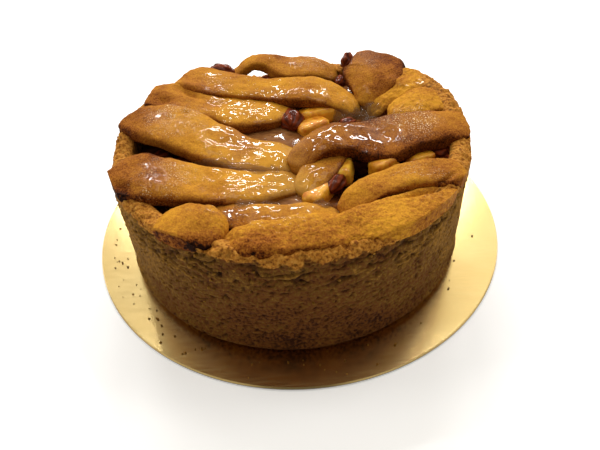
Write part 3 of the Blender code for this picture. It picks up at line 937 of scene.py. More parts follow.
DENTS = (
    Dent(-63, -42, 12, 7, -15, 1.2), Dent(-47, -50, 12, 4, 0, 1.5), Dent(-76, -44, 7, 3, -35, -1.5),
    Dent(-24.8, -46, 4, 4, 0, 0.6), Dent(-30, -19, 9, 3, 80, 0.9), Dent(-54, 40, 9, 3, -32, -2.6),
    Dent(-57, 48, 10, 3, -25, 1.3), Dent(-39, 31, 7, 5, 0, -1.5), Dent(-70, 32, 6, 5, 0, -1.5),
    Dent(47, -13, 13, 4, -75, -1.8), Dent(30, -6, 12, 4, -10, 0.9), Dent(62, -2, 10, 5, 10, 0.9),
    Dent(47, 9, 7, 4, 0, 1.4), Dent(61, 38, 3.5, 5, 60, 1.6), Dent(52, 58, 14, 5, -50, 0.8),
    Dent(40, 50, 10, 4, 70, -0.8), Dent(55, -57, 9, 1.2, 20, -2.2), Dent(66, -52, 7, 1.2, 40, -2.2),
    Dent(20, -70, 12, 5, 8, 0.8), Dent(-20, -66, 3, 7, 0, -1.2), Dent(-45, -66, 14, 6, -10, 0.8),
    Dent(-54, 16, 2.2, 2.2, 0, -2.2), Dent(-25.7, -37.6, 5.2, 4.2, 0, 0.22, 0.24),
    Dent(-12.5, -42, 9, 3.0, 22, 0.25, 0.34), Dent(-18, -14.5, 7, 4.5, -10, 0.25, 0.24),
    Dent(-25, 30, 9, 4, 12, 0.3, 0.26), Dent(-9, 28, 7, 3, 20, 0.3, 0.34),
    Dent(18, -21, 6, 2.6, 50, 0.2, 0.36), Dent(-68, 31, 5, 3.5, 0, -1.2), Dent(-50, -45, 9, 2.5, -5, 0.9),
)


@dataclass(frozen=True)
class Patch:
    """A round patch on the lattice: its centre from the pie's centre, its radius and its strength."""

    x: float
    y: float
    radius: float
    strength: float = 1.0

    def share_at(self, points: Array) -> Array:
        """Its strength at points: a bell of the distance from its centre."""
        gap = np.hypot(points[..., 0] - self.x, points[..., 1] - self.y)
        return self.strength * bell(gap, self.radius)


GLAZED = (
    Patch(-27, 28, 15), Patch(-9, 28, 11), Patch(-14, -12, 20), Patch(-34, -6, 14, 0.7), Patch(-12, -38, 17),
    Patch(20, -17, 13), Patch(46, -14, 11, 0.9), Patch(30, -10, 9, 0.4), Patch(22, 34, 16, 0.6),
    Patch(-4, -58, 18, 0.8), Patch(-30, -56, 12, 0.5), Patch(-42, 50, 12, 0.5), Patch(10, 76, 16, 0.4),
    Patch(-58, -38, 13, 0.45), Patch(-62, 10, 14, 0.4), Patch(48, 36, 10, 0.4), Patch(70, 34, 8, 0.3),
)

GRITTY = (
    Patch(-58, -38, 15), Patch(-60, 12, 17), Patch(60, -3, 15, 1.3), Patch(36, -4, 14, 1.2),
    Patch(46, 62, 16, 0.6), Patch(60, -48, 20, 0.5), Patch(-40, 50, 16, 0.5), Patch(12, 77, 18, 0.6),
)

# Browner patches, mostly browning and a burnt tip; the two at the front, (-37, -83) and (-16, -85), are
# painted shade in the creases under the front strips.
BROWNED_AND_SHADED = (
    Patch(-84, -30, 12, 0.26), Patch(-68, -34, 14, 0.16), Patch(-84, 20, 12, 0.24), Patch(-66, 12, 14, 0.14),
    Patch(-76, -45, 4, 0.35), Patch(80, -6, 15, -0.35), Patch(52, 2, 18, 0.1),
    Patch(44, -14, 16, 0.16), Patch(30, -4, 10, 0.1), Patch(-70, -52, 8, -0.2), Patch(-37, -83, 9, 0.5),
    Patch(-16, -85, 9, 0.45), Patch(50, 62, 20, 0.1), Patch(10, 80, 20, 0.12),
)

PALE = (
    Patch(-14, -36, 18, 0.2), Patch(-4, -10, 14, 0.25), Patch(-27, 26, 14, 0.2), Patch(-2, -58, 18, 0.15),
    Patch(22, -17, 12, 0.12), Patch(34, 28, 12, 0.16), Patch(-34, -14, 8, 0.16),
)


def total(patches: tuple[Patch, ...], points: Array) -> Array:
    """The patches' strengths added up at points."""
    return sum(patch.share_at(points) for patch in patches)


@dataclass
class Lattice:
    """The pastry strips, laid from rim to middle while soft, and baked stiff."""

    tin_radius: float = 90.4
    thickness: float = 8.6
    slenderness: float = 0.5
    squareness: float = 0.62
    top_squareness: float = 0.36
    crown: float = 0.05
    end_depth: float = 0.32
    fullness: float = 1.03
    spacing: float = 0.65
    columns: int = 132
    highest: float = 73.7
    easing: float = 1.5
    glaze_depth: float = 0.35
    swells: tuple[tuple[float, float], ...] = ((1.1, 19.0), (0.5, 8.5), (0.2, 4.0))

    def section_scale(self, distance: Array, length: float, depth: float) -> Array:
        """How far the section is drawn in near an end: a quarter circle over the end's depth."""
        near = np.clip(np.minimum(distance, length - distance) / depth, 0.0, 1.0)
        return np.sqrt(np.clip(1.0 - (1.0 - near) ** 2, 0.0, 1.0))

    def section(self, width: Array, thick: Array, angle: Array) -> tuple[Array, Array, Array]:
        """The squarish oval that is carried along a strip.

        Args:
            width: the strip's width, a column of numbers or one.
            thick: its thickness, alike.
            angle: angles round the oval, in radians.

        Returns:
            Places across the strip, half the width times a power of the cosine; up from its middle, half
            the thickness times a power of the sine, lowered towards the edges by the crown; and that
            power of the sine, 1 on the top face and -1 underneath.
        """
        across = 0.5 * width * np.sign(np.cos(angle)) * np.abs(np.cos(angle)) ** self.squareness
        power = np.where(np.sin(angle) > 0, self.top_squareness, self.squareness)
        lift = np.sign(np.sin(angle)) * np.abs(np.sin(angle)) ** power
        return across, 0.5 * thick * lift - self.crown * thick * (2.0 * across / width) ** 2, lift

    def even_angles(self) -> Array:
        """Space points evenly round the oval, by the running length of a typical section.

        Returns:
            The points' angles, in radians.
        """
        dense = np.linspace(0.0, 2.0 * math.pi, 4001)
        across, up, _ = self.section(np.array(24.0), np.array(self.thickness), dense)
        run = np.concatenate([[0.0], np.cumsum(np.hypot(np.diff(across), np.diff(up)))])
        return np.interp((np.arange(self.columns) + 0.5) * run[-1] / self.columns, run, dense)

    def surface(self, strip: Strip) -> tuple[Array, Array, Array, Array]:
        """A strip's bare grid: a squarish oval, crowned on top, carried along its route.

        Args:
            strip: the strip.

        Returns:
            The grid of points from the pie's centre, its first and last pole, and the section's lift.
        """
        knots = np.array(strip.knots, dtype=float)
        dense = catmull_rom(knots, np.linspace(0.0, len(knots) - 1.0, 400))
        run = np.concatenate([[0.0], np.cumsum(np.linalg.norm(np.diff(dense[:, :3], axis=0), axis=1))])
        length = run[-1]
        depth = self.end_depth * min(knots[0, 3], knots[-1, 3])
        share = np.linspace(0.0, 1.0, round(length / self.spacing))
        eased = share - 0.02 * np.sin(2.0 * math.pi * share) / (2.0 * math.pi)
        distance = length * eased[1:-1]
        row = np.stack([np.interp(distance, run, dense[:, i]) for i in range(4)], axis=-1)
        place, width = row[:, :3], self.fullness * row[:, 3:]
        tangent = unit(np.gradient(place, axis=0))
        level = unit(np.stack([tangent[:, 1], -tangent[:, 0], np.zeros(len(tangent))], axis=-1))
        upright = unit(np.cross(level, tangent))
        thick = np.minimum(self.thickness, self.slenderness * width)
        across, up, lift = self.section(width, thick, self.even_angles())
        scale = self.section_scale(distance, length, depth)[:, None]
        points = (place[:, None] + level[:, None] * (scale * across)[..., None]
                  + upright[:, None] * (scale * up - 0.5 * thick)[..., None])
        drop = np.array([0.0, 0.0, 1.0]) * 0.5 * thick[[0, -1]]
        return points, dense[0, :3] - drop[0], dense[-1, :3] - drop[1], lift

    def pressed(self, points: Array) -> Array:
        """Push points outside the tin's wall back to it, as the tin held the raw dough.

        Args:
            points: places from the pie's centre, in the last axis.

        Returns:
            The places, with X and Y scaled down to the tin's radius where they passed it.
        """
        radius = np.linalg.norm(points[..., :2], axis=-1, keepdims=True)
        inside = np.minimum(radius, self.tin_radius)
        return np.concatenate([points[..., :2] * inside / np.maximum(radius, 1e-6), points[..., 2:]], axis=-1)

    def dressed(self, strip: Strip, seed: int) -> Skin:
        """A strip's finished skin, with its relief, its glazing marks and its baking mark, which also carries
        painted shade.

        Noise and the dents are added along the normals, the glaze lies on top by its depth and a ripple,
        and what would stand too high is eased down by a tanh curve.

        Args:
            strip: the strip.
            seed: the seed of its relief.

        Returns:
            The closed skin round the pie's centre, moved to the pie's place.
        """
        points, first, last, lift = self.surface(strip)
        normals = grid_normals(points)
        if np.sum(normals[..., 2] * (points[..., 2] - points[..., 2].mean())) < 0:
            normals = -normals
        rough = Relief(seed)
        shared = points + 10.0 * seed
        facing = smoothstep(-0.1, 0.5, normals[..., 2])
        glaze = np.clip(total(GLAZED, points) + strip.gloss, 0.0, 1.0) * facing
        coat = smoothstep(0.40, 0.56, glaze + 0.45 * rough.at(shared, 11.0) + 0.2 * rough.at(shared, 4.5))
        swell = sum(height * rough.at(shared, size) for height, size in self.swells)
        swell = swell + (0.12 * rough.layers(shared, 2.0, 2) + 0.1 * rough.at(shared, 3.0)) * (1.0 - coat)
        ripple = 0.2 * rough.at(shared + 3.0, 5.5) + 0.07 * rough.at(shared + 8.0, 2.9)
        swell = swell + coat * (self.glaze_depth + ripple)
        for dent in DENTS:
            swell = swell + dent.height_at(points) * smoothstep(-0.2, 0.4, normals[..., 2])
        radius = np.linalg.norm(points[..., :2], axis=-1)
        torn = smoothstep(76.0, 88.0, radius) * smoothstep(0.95, 0.3, normals[..., 2])
        crumbly = np.clip(strip.crumbly + 0.7 * torn, 0.0, 1.0)
        swell = swell + crumbly * (0.45 * rough.layers(shared + 5.0, 3.2, 2) - 0.7 * torn *
                                   smoothstep(0.25, 0.6, rough.at(shared, 2.4)))
        points = points + normals * swell[..., None]
        over = np.maximum(points[..., 2] - self.highest + self.easing, 0.0)
        points[..., 2] += self.easing * np.tanh(over / self.easing) - over
        points = self.pressed(points)
        outward = smoothstep(42.0, 84.0, radius)
        # Darker on each strip's sides: partly browning, partly painted shade where the light doesn't reach.
        side_brown_and_shade = smoothstep(0.92, 0.6, lift + 0.1 * rough.at(shared, 5.0))
        bake_and_shade = 0.2 + 0.14 * outward + strip.brown + 0.3 * rough.at(shared, 20.0)
        bake_and_shade = bake_and_shade + strip.side_brown_and_shade * side_brown_and_shade + total(BROWNED_AND_SHADED, points) - total(PALE, points)
        grit = np.clip(0.3 + total(GRITTY, points), 0.0, 1.3)
        wet = np.maximum(0.12 * glaze + 0.88 * coat, 0.12 * smoothstep(0.5, 1.0, grit) * facing)
        grit = grit * (1.0 - coat)
        low = smoothstep(64.5, 60.0, points[..., 2]) * (1.0 - smoothstep(50.0, 72.0, radius))
        # This mark holds the browning and also the painted shade of the sides and of the front creases.
        marks = {"bake_and_shade": bake_and_shade, "wet": wet, "film": 0.35 * low * facing, "crumbly": crumbly, "grit": grit}
        return Skin.tube(points + PIE_CENTRE, self.pressed(first) + PIE_CENTRE,
                         self.pressed(last) + PIE_CENTRE, marks)

    def build(self) -> list[Skin]:
        """Make every strip.

        Returns:
            Their skins, for the syrup that settles on them.
        """
        finish = BakedPastry().build()
        skins = []
        for seed, strip in enumerate(STRIPS, start=11):
            skin = self.dressed(strip, seed)
            make_piece("pastry_" + strip.node, skin, finish, Slot.LATTICE, strip.node)
            skins.append(skin)
        return skins


@dataclass
class Filling:
    """The filling: a plug of stewed apple whose top shows between the strips."""

    radius: float = 79.4
    base: float = 11.3
    top: float = 56.5
    steps: int = 420
    rings: int = 96
    hollows: tuple[tuple[float, float, float, float], ...] = (
        (-62, -8, 16, 5), (40, -26, 15, 6), (62, -22, 13, 4), (-15, 66, 15, 5), (50, 27, 9, 3),
        (30, -38, 9, 3))
    pools: tuple[tuple[float, float, float, float], ...] = (
        (-14, 12, 22, 58.5), (-5, -44, 20, 57.5), (10, 30, 9, 61.5))

    def heights(self, x: Array, y: Array, cup: CrustCup) -> tuple[Array, Array, Array]:
        """The top's height at places from the pie's centre.

        Args:
            x: places along X.
            y: places along Y.
            cup: the crust that holds the filling.

        Returns:
            Heights, how deep in a hollow each place lies, and how much of it is level syrup.
        """
        spots = np.stack([x, y, np.zeros_like(x)], axis=-1)
        rough = Relief(5)
        height = self.top + 1.3 * rough.at(spots, 15.0) + 0.9 * rough.at(spots, 6.0)
        height = height + 0.4 * rough.layers(spots, 2.5, 2)
        angle = np.degrees(np.arctan2(y, x))
        edge = np.minimum(1.0, np.hypot(x, y) / self.radius)
        height = height - 0.5 * (cup.rim - cup.rim_height(angle)) * edge ** 6
        pool = np.zeros_like(x)
        for px, py, width, level in self.pools:
            share = np.clip(1.25 * bell(np.hypot(x - px, y - py), width), 0.0, 1.0)
            height = height + (level - height) * share
            pool = np.maximum(pool, smoothstep(0.35, 0.85, share))
        depth = np.zeros_like(x)
        for hx, hy, width, fall in self.hollows:
            share = bell(np.hypot(x - hx, y - hy), width)
            height = height - fall * share
            depth = np.maximum(depth, share)
        height = height + pool * (0.3 * rough.at(spots + 9.0, 8.0) + 0.2 * rough.at(spots + 4.0, 3.4))
        return height, depth, pool

    def build(self, cup: CrustCup) -> Skin:
        """Make the plug: its top on a polar grid, its side and its underside.

        Args:
            cup: the crust that holds it.

        Returns:
            Its skin.
        """
        angle = np.linspace(0.0, 2.0 * math.pi, self.steps, endpoint=False)
        reach = self.radius * np.sqrt(np.linspace(0.0, 1.0, self.rings + 1))[1:, None]
        x, y = reach * np.cos(angle), reach * np.sin(angle)
        height, depth, pool = self.heights(x, y, cup)
        side = np.linspace(1.0, 0.0, 8)[1:, None, None]
        rim_row = np.stack([x[-1], y[-1], height[-1]], axis=-1)
        foot_row = np.stack([x[-1], y[-1], np.full(self.steps, self.base)], axis=-1)
        wall = rim_row[None] * side + foot_row[None] * (1.0 - side)
        under = foot_row[None] * np.array([0.5, 0.5, 1.0])
        points = np.concatenate([np.stack([x, y, height], axis=-1), wall, under])
        tail = np.ones((len(points) - len(x), self.steps))
        # The depth mark lets the finish darken the hollows: painted shade.
        marks = {"depth": np.vstack([depth, tail]), "pool": np.vstack([pool, 0.0 * tail])}
        middle = np.array([0.0, 0.0, height[0].mean()])
        skin = Skin.tube(points + PIE_CENTRE, PIE_CENTRE + middle,
                         PIE_CENTRE + (0.0, 0.0, self.base), marks)
        make_piece("stewed_filling", skin, StewedFilling().build(), Slot.FILLING, "filling")
        return skin


def ball_grid(rows: int, columns: int) -> Array:
    """A ball of radius 1 whose poles lie on the X axis.

    Args:
        rows: rings of points between the poles.
        columns: points in a ring.

    Returns:
        The grid (rows, columns, 3): minus the cosine of the row's angle along X, and its sine times the
        cosine and sine of the column's angle along Y and Z.
    """
    lift = np.linspace(0.0, math.pi, rows + 2)[1:-1, None]
    turn = np.linspace(0.0, 2.0 * math.pi, columns, endpoint=False)[None]
    return np.stack([np.broadcast_to(-np.cos(lift), (rows, columns)), np.sin(lift) * np.cos(turn),
                     np.sin(lift) * np.sin(turn)], axis=-1)


def placed(points: Array, x: float, y: float, z: float, turn: float, tilt: float) -> Array:
    """Put points in their place.

    Args:
        points: places in a piece's own frame, in the last axis.
        x: the piece's place along X from the pie's centre.
        y: the same along Y.
        z: its height.
        turn: its turn about Z, in degrees.
        tilt: its turn about X before that, in degrees.

    Returns:
        The places in the pie's frame.
    """
    spin = Matrix.Rotation(math.radians(turn), 3, "Z") @ Matrix.Rotation(math.radians(tilt), 3, "X")
    return points @ np.array(spin).T + PIE_CENTRE + (x, y, z)


@dataclass(frozen=True)
class Fruit:
    """A piece of fruit: centre from the pie's centre, length, width, depth and turn in degrees."""

    node: str
    centre: tuple[float, float, float]
    size: tuple[float, float, float]
    turn: float


APPLES = (
    Fruit("apple_back", (13, 16, 56.5), (19, 13, 10), 25),
    Fruit("apple_back_right", (20, 28, 58.5), (28, 14, 9.5), 12),
    Fruit("apple_green", (26, -27, 59.5), (15, 9, 9), 75),
    Fruit("apple_orange", (13, -40.5, 57.5), (18, 12, 9), 55),
    Fruit("apple_right", (45, -27, 61), (15, 11, 10), 35),
    Fruit("apple_far_right", (63, -22, 60), (15, 9, 8), 15),
)

RAISINS = (
    Fruit("raisin_middle", (2, 20, 60.5), (16, 12, 10.5), 82),
    Fruit("raisin_middle_right", (32, 18, 57), (10, 8, 7), 20),
    Fruit("raisin_front", (21, -37, 60), (13, 8, 8), 55),
    Fruit("raisin_right_rim", (82, -16, 63), (12, 9, 8), 60),
    Fruit("raisin_right", (74, -18, 60.5), (11, 8, 7), 10),
    Fruit("raisin_right_red", (78, -25, 60), (10, 8, 7), 100),
    Fruit("raisin_left_inner", (-55, -8, 55), (11, 8, 7), 150),
    Fruit("raisin_left", (-67, 0, 54.5), (11, 8, 7), 20),
    Fruit("raisin_left_small", (-46, -13, 55.5), (9, 7, 6), 160),
    Fruit("raisin_back_right", (57, 29, 57), (10, 8, 7), 50),
    Fruit("raisin_burnt_left", (-40, 78, 62), (17, 10, 9), 150),
    Fruit("raisin_burnt_right", (38, 79, 63), (11, 8, 12), 70),
    Fruit("raisin_back_left", (-12, 69, 58.5), (10, 7, 6), 10),
    Fruit("raisin_back", (33, 66, 57), (10, 8, 7), 60),
)


@dataclass
class FruitPieces:
    """The apple chunks and raisins that show between the strips."""

    corner_power: float = 0.5
    wrinkle: float = 0.028

    def chunk(self, fruit: Fruit, seed: int) -> Skin:
        """An apple chunk: a ball squared up by a power of its coordinates, tapered, with soft dents.

        Args:
            fruit: the chunk's place and size.
            seed: the seed of its dents.

        Returns:
            Its skin.
        """
        ball = ball_grid(44, 64)
        squared = np.sign(ball) * np.abs(ball) ** self.corner_power
        squared = squared / np.max(np.abs(squared), axis=(0, 1))
        taper = 1.0 - 0.1 * (1.0 + squared[..., :1])
        shape = 0.5 * squared * np.array(fruit.size) * np.concatenate(
            [np.ones_like(taper), taper, np.ones_like(taper)], axis=-1)
        rough = Relief(seed)
        shape = shape * (1.0 + 0.09 * rough.at(shape + seed, 6.0) + 0.03 * rough.at(shape, 2.2))[..., None]
        tilt = 18.0 * math.sin(fruit.centre[0] + fruit.centre[1])
        half = 0.5 * fruit.size[0]
        poles = np.array([(-half, 0.0, 0.0), (half, 0.0, 0.0)])
        grid = placed(shape, *fruit.centre, fruit.turn, tilt)
        ends = placed(poles, *fruit.centre, fruit.turn, tilt)
        return Skin.tube(grid, ends[0], ends[1])

    def raisin(self, fruit: Fruit, seed: int) -> Skin:
        """A raisin: an egg with lengthwise wrinkles, each a sine of the angle bent by noise.

        Args:
            fruit: the raisin's place and size.
            seed: the seed of its wrinkles.

        Returns:
            Its skin.
        """
        ball = ball_grid(40, 60)
        rough = Relief(seed)
        around = np.arctan2(ball[..., 2], ball[..., 1])
        bend = 2.2 * rough.at(4.0 * ball + seed, 3.0)
        folds = np.sin(7.0 * around + bend + 2.0 * ball[..., 0])
        folds = folds * np.sqrt(np.clip(1 - ball[..., 0] ** 2, 0, 1))
        lumps = rough.at(6.0 * ball + seed, 3.4)
        scale = 1.0 + self.wrinkle * folds + 0.16 * lumps - 0.05 * ball[..., 0]
        shape = 0.5 * ball * np.array(fruit.size) * scale[..., None]
        poles = 0.5 * fruit.size[0] * np.array([(-1.0, 0.0, 0.0), (1.0, 0.0, 0.0)])
        grid = placed(shape, *fruit.centre, fruit.turn, 8.0)
        ends = placed(poles, *fruit.centre, fruit.turn, 8.0)
        # The swell mark, low in the folds, is where the finish paints shade.
        return Skin.tube(grid, ends[0], ends[1], {"swell": 0.5 + 0.5 * folds})

    def build(self) -> list[Skin]:
        """Make every piece of fruit.

        Returns:
            Their skins.
        """
        amber = StewedApple("stewed_apple_amber", "#F2AE2C", "#C8700C").build()
        green = StewedApple("stewed_apple_green", "#F8C038", "#CC8418").build()
        skin_finish = RaisinSkin().build()
        skins = []
        for seed, fruit in enumerate(APPLES, start=41):
            skin = self.chunk(fruit, seed)
            finish = green if fruit.node == "apple_green" else amber
            make_piece("stewed_" + fruit.node, skin, finish, Slot.APPLE, fruit.node)
            skins.append(skin)
        for seed, fruit in enumerate(RAISINS, start=61):
            skin = self.raisin(fruit, seed)
            make_piece("swollen_" + fruit.node, skin, skin_finish, Slot.RAISIN, fruit.node)
            skins.append(skin)
        return skins


@dataclass(frozen=True)
class Run:
    """A stretch of a crease that syrup filled: its two ends from the pie's centre, and half its width."""

    start: tuple[float, float]
    end: tuple[float, float]
    reach: float


@dataclass
class SyrupRuns:
    """Syrup in the creases: a thin sheet whose top bridges the valleys between the strips."""

    half: float = 78.0
    cell: float = 0.8
    closing: int = 6
    sink: float = 0.15
    hidden: float = 1.4
    deepest: float = 3.2
    thickness: float = 1.0
    runs: tuple[Run, ...] = (
        Run((-50.0, -20.0), (-8.0, -26.0), 5.0), Run((28.0, 24.0), (46.0, 26.0), 7.0),
        Run((-22.0, -52.0), (14.0, -52.0), 5.0), Run((14.0, 4.0), (34.0, 14.0), 5.0))

    def top_map(self, skins: list[Skin]) -> Array:
        """Map the heights seen from above.

        Args:
            skins: the surfaces.

        Returns:
            A square map, with the highest point of any skin in each cell.
        """
        count = int(round(2 * self.half / self.cell)) + 1
        heights = np.full((count, count), 50.0)
        for skin in skins:
            spots = skin.points - PIE_CENTRE
            column = np.round((spots[:, 0] + self.half) / self.cell).astype(int)
            line = np.round((spots[:, 1] + self.half) / self.cell).astype(int)
            good = (column >= 0) & (column < count) & (line >= 0) & (line < count)
            np.maximum.at(heights, (line[good], column[good]), spots[good, 2])
        return heights

    def spread(self, heights: Array, pick: np.ufunc, reach: int) -> Array:
        """Spread the highest or lowest heights of a map, along X and then along Y.

        Args:
            heights: the map.
            pick: np.maximum or np.minimum.
            reach: how many cells away a height still counts.

        Returns:
            The map of picked heights.
        """
        for axis in (0, 1):
            shifted = [np.roll(heights, step, axis=axis) for step in range(-reach, reach + 1)]
            heights = pick.reduce(shifted)
        return heights

    def blurred(self, heights: Array, passes: int) -> Array:
        """Blur a map.

        Args:
            heights: the map.
            passes: how many times it is blurred.

        Returns:
            The map, each pass giving a cell half its own height and a quarter of each neighbour's.
        """
        for _ in range(passes):
            for axis in (0, 1):
                heights = (np.roll(heights, 1, axis) + 2.0 * heights + np.roll(heights, -1, axis)) / 4.0
        return heights

    def drawn(self, x: Array, y: Array) -> Array:
        """How much syrup lies at a place.

        Args:
            x: places along X from the pie's centre.
            y: places along Y.

        Returns:
            1 near a run's line and 0 past its reach, by a soft step of the distance, bent by noise.
        """
        spot = np.stack([x, y, np.zeros_like(x)], axis=-1)
        bend = 2.5 * Relief(8).layers(spot, 9.0, 2)
        most = np.zeros_like(x)
        for run in self.runs:
            start, way = np.array(run.start), np.subtract(run.end, run.start)
            share = np.clip((spot[..., :2] - start) @ way / (way @ way), 0.0, 1.0)
            gap = np.linalg.norm(spot[..., :2] - start - share[..., None] * way, axis=-1)
            most = np.maximum(most, smoothstep(run.reach, 0.4 * run.reach, gap + bend))
        return most

    def build(self, skins: list[Skin]) -> None:
        """Lay the sheet, and keep only the cells where it shows or just dips under.

        The map of heights is closed, spread up and then down again, which bridges its valleys. The sheet
        rises from below the surface to that bridge where syrup is drawn.

        Args:
            skins: the surfaces that the syrup ran between.
        """
        ragged = self.top_map(skins)
        heights = self.spread(self.spread(ragged, np.maximum, 1), np.minimum, 1)
        closed = self.spread(self.spread(heights, np.maximum, self.closing), np.minimum, self.closing)
        level = self.blurred(closed, 5) - self.sink
        count = len(heights)
        place = np.linspace(-self.half, self.half, count)
        x, y = np.meshgrid(place, place)
        drawn = self.drawn(x, y)
        low = self.blurred(heights, 2) - self.hidden
        top = low + (np.minimum(level, low + self.hidden + self.deepest) - low) * drawn
        shown = (drawn > 0.02) & (np.hypot(x, y) < 74.0)
        outline = np.stack([x, y, top], axis=-1)
        rough = Relief(9)
        outline[..., 2] += drawn * (0.16 * rough.at(outline, 5.0) + 0.08 * rough.at(outline, 2.6))
        under = outline - (0.0, 0.0, self.thickness)
        index = np.arange(count * count).reshape(count, count)
        upper = np.stack([index[:-1, :-1], index[:-1, 1:], index[1:, 1:], index[1:, :-1]], -1).reshape(-1, 4)
        upper = upper[shown.ravel()[upper].all(axis=1)]
        sides = np.stack([upper, np.roll(upper, -1, axis=1)], axis=-1).reshape(-1, 2)
        code = sides[:, 0] * count * count + sides[:, 1]
        back = sides[:, 1] * count * count + sides[:, 0]
        open_sides = sides[~np.isin(code, back)]
        rim = np.hstack([open_sides[:, ::-1], open_sides + count * count])
        quads = np.vstack([upper, upper[:, ::-1] + count * count, rim])
        used, quads = np.unique(quads, return_inverse=True)
        points = (np.vstack([outline.reshape(-1, 3), under.reshape(-1, 3)]) + PIE_CENTRE)[used]
        skin = Skin(points, quads.reshape(-1, 4), np.zeros((0, 3), dtype=int))
        make_piece("set_syrup", skin, SyrupFilm().build(), Slot.FILLING)


@dataclass
class Crumbs:
    """Loose crumbs on the card and flakes that cling to the wall."""

    card_count: int = 70
    wall_count: int = 100
    card_top: float = 1.6
    wall_radius: float = 90.2
    farthest: float = 104.0
    seed: int = 23

    def blob(self) -> tuple[Array, Array, Array]:
        """One crumb, a coarse ball.

        Returns:
            Its points, quads and triangles.
        """
        grid = ball_grid(4, 7)
        skin = Skin.tube(grid, np.array([-1.0, 0.0, 0.0]), np.array([1.0, 0.0, 0.0])).turned_out()
        return skin.points, skin.quads, skin.triangles

    def scattered(self, centres: Array, sizes: Array, draw: np.random.Generator) -> Skin:
        """Crumbs, each stretched and roughened by its own draw.

        Args:
            centres: one row a crumb.
            sizes: the crumbs' radii.
            draw: the source of random numbers.

        Returns:
            All of them as one skin.
        """
        points, quads, triangles = self.blob()
        stretch = draw.uniform(0.55, 1.0, (len(centres), 1, 3)) * sizes[:, None, None]
        knobs = 1.0 + 0.28 * draw.uniform(-1.0, 1.0, (len(centres), len(points), 1))
        spots = centres[:, None] + points[None] * stretch * knobs
        step = len(points) * np.arange(len(centres))[:, None, None]
        return Skin(spots.reshape(-1, 3), (quads[None] + step).reshape(-1, 4),
                    (triangles[None] + step).reshape(-1, 3))

    def build(self) -> None:
        """Scatter the crumbs, most of them at the front left and close to the foot."""
        draw = np.random.default_rng(self.seed)
        angle = np.radians(draw.normal(225.0, 55.0, self.card_count))
        reach = 92.5 + np.abs(draw.normal(0.0, 8.0, self.card_count))
        sizes = draw.uniform(0.25, 0.75, self.card_count)
        reach = np.minimum(reach, self.farthest)
        on_card = np.stack([reach * np.cos(angle), reach * np.sin(angle),
                            self.card_top + 0.6 * sizes], axis=-1) + PIE_CENTRE
        turn = np.radians(draw.uniform(195.0, 400.0, self.wall_count))
        height = 62.0 - np.abs(draw.normal(0.0, 16.0, self.wall_count))
        flakes = draw.uniform(0.35, 1.1, self.wall_count)
        on_wall = np.stack([self.wall_radius * np.cos(turn), self.wall_radius * np.sin(turn),
                            np.maximum(height, 6.0)], axis=-1) + PIE_CENTRE
        skin = self.scattered(np.vstack([on_card, on_wall]), np.concatenate([sizes, flakes]), draw)
        count = len(skin.points)
        skin.marks = {"pale": np.full(count, 0.75), "top": np.full(count, 0.25), "pit": np.zeros(count)}
        make_piece("loose_crumbs", skin, bpy.data.materials[WallCrumb.name], Slot.CRUST)


@dataclass(frozen=True)
class Lamp:
    """A long lamp aimed at the pie: its name, place, length, breadth and power in watts."""

    name: str
    place: tuple[float, float, float]
    length: float
    breadth: float
    power: float


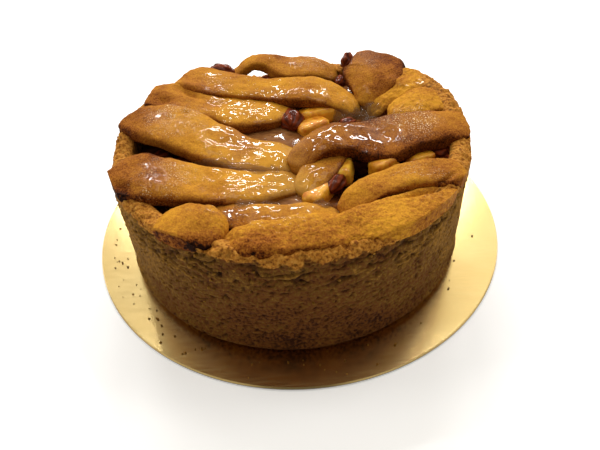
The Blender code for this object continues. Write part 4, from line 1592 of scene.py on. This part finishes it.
@dataclass
class Studio:
    """The plain pale floor, the soft lights and the camera."""

    eye: tuple[float, float, float] = (0.0, -0.2430085, 0.2197228)
    right: tuple[float, float, float] = (0.99847779, -0.03953213, -0.03846179)
    up: tuple[float, float, float] = (0.05508371, 0.67922476, 0.73186031)
    forward: tuple[float, float, float] = (0.0028078, 0.73286488, -0.68036841)
    lens: float = 32.63
    sensor: float = 36.0
    room_strength: float = 1.25
    floor_glow: float = 0.28
    floor_reach: float = 3.0
    floor_drop: float = 1e-4
    aim: tuple[float, float, float] = (0.0, 0.0, 0.05)
    lamps: tuple[Lamp, ...] = (
        Lamp("lamp_back", (-0.12, 0.62, 0.95), 0.4, 0.03, 2.0),
        Lamp("lamp_right", (0.42, 0.3, 0.95), 0.3, 0.025, 1.2),
        Lamp("lamp_left", (-0.5, 0.25, 0.95), 0.3, 0.025, 1.2),
        Lamp("lamp_over", (0.05, 0.1, 1.15), 0.5, 0.5, 2.0),
        Lamp("lamp_low_middle", (-0.08, 0.9, 0.62), 0.16, 0.06, 1.6),
        Lamp("lamp_low_left", (-0.33, 0.83, 0.6), 0.16, 0.06, 1.6),
        Lamp("lamp_low_inner", (0.1, 0.87, 0.6), 0.14, 0.06, 1.4),
        Lamp("lamp_low_right", (0.3, 0.81, 0.61), 0.16, 0.06, 1.6))

    def camera(self) -> None:
        """The photograph's view: close in front of the pie, looking down at 42 degrees."""
        data = bpy.data.cameras.new("camera")
        data.lens = self.lens
        data.sensor_width = self.sensor
        data.clip_start = 0.01
        camera = bpy.data.objects.new("camera", data)
        axes = np.array([self.right, self.up, [-part for part in self.forward]]).T
        place = Matrix.Identity(4)
        for i in range(3):
            place[i][:3] = axes[i]
            place[i][3] = self.eye[i]
        camera.matrix_world = place
        bpy.context.scene.collection.objects.link(camera)
        bpy.context.scene.camera = camera

    def floor(self) -> None:
        """A wide pale floor under the card."""
        material, tree, shader = new_material("pale_floor")
        feed(tree, shader, {"Base Color": linear("#F4F4F4"), "Roughness": 0.6,
                            "Emission Color": linear("#FFFFFF"), "Emission Strength": self.floor_glow})
        mesh = bpy.data.meshes.new("floor")
        corners = ((-1, -1), (1, -1), (1, 1), (-1, 1))
        mesh.from_pydata([(self.floor_reach * x, self.floor_reach * y, -self.floor_drop)
                          for x, y in corners], [], [(0, 1, 2, 3)])
        mesh.materials.append(material)
        floor = bpy.data.objects.new("floor", mesh)
        bpy.context.scene.collection.objects.link(floor)

    def hang(self, lamp: Lamp) -> None:
        """Hang a lamp, with its length level, and aim it at the pie.

        Args:
            lamp: the lamp.
        """
        data = bpy.data.lights.new(lamp.name, "AREA")
        data.shape = "RECTANGLE"
        data.size = lamp.length
        data.size_y = lamp.breadth
        data.energy = lamp.power
        light = bpy.data.objects.new(lamp.name, data)
        light.location = lamp.place
        way = Vector(self.aim) - Vector(lamp.place)
        light.rotation_euler = way.to_track_quat("-Z", "Y").to_euler()
        bpy.context.scene.collection.objects.link(light)

    def room(self) -> None:
        """The room's light: pale walls behind the pie on both sides, dimmer in front and overhead."""
        world = bpy.data.worlds.new("pale_room")
        world.use_nodes = True
        tree = world.node_tree
        ray = add_node(tree, "ShaderNodeTexCoord").outputs["Generated"]
        way = add_node(tree, "ShaderNodeSeparateXYZ", {0: ray}).outputs
        colour = ramp(tree, way["Z"], {0.0: "#8C867C", 0.3: "#FFF7E6", 0.75: "#FFF7E6", 0.9: "#8C867C",
                                       1.0: "#6C675E"})
        aside = maths(tree, "ABSOLUTE", maths(tree, "ADD", way["X"], 0.05), 0.0)
        share = maths(tree, "MULTIPLY", between(tree, way["Y"], -0.5, 0.4, 0.34, 1.0),
                      between(tree, aside, 0.22, 0.38, 0.3, 1.0))
        feed(tree, tree.nodes["Background"], {
            "Color": colour, "Strength": maths(tree, "MULTIPLY", share, self.room_strength)})
        bpy.context.scene.world = world

    def build(self) -> None:
        """Set up the whole studio."""
        self.camera()
        self.floor()
        for lamp in self.lamps:
            self.hang(lamp)
        self.room()
        bpy.context.scene.view_settings.view_transform = "Standard"


def main() -> None:
    """Build the pie piece by piece, from the card up."""
    logging.basicConfig(level=logging.INFO, format="%(name)s: %(message)s")
    Studio().build()
    GoldCard().build()
    cup = CrustCup()
    cup.build()
    strips = Lattice().build()
    filling = Filling().build(cup)
    fruit = FruitPieces().build()
    SyrupRuns().build(strips + [filling] + fruit)
    Crumbs().build()


if __name__ == "__main__":
    main()
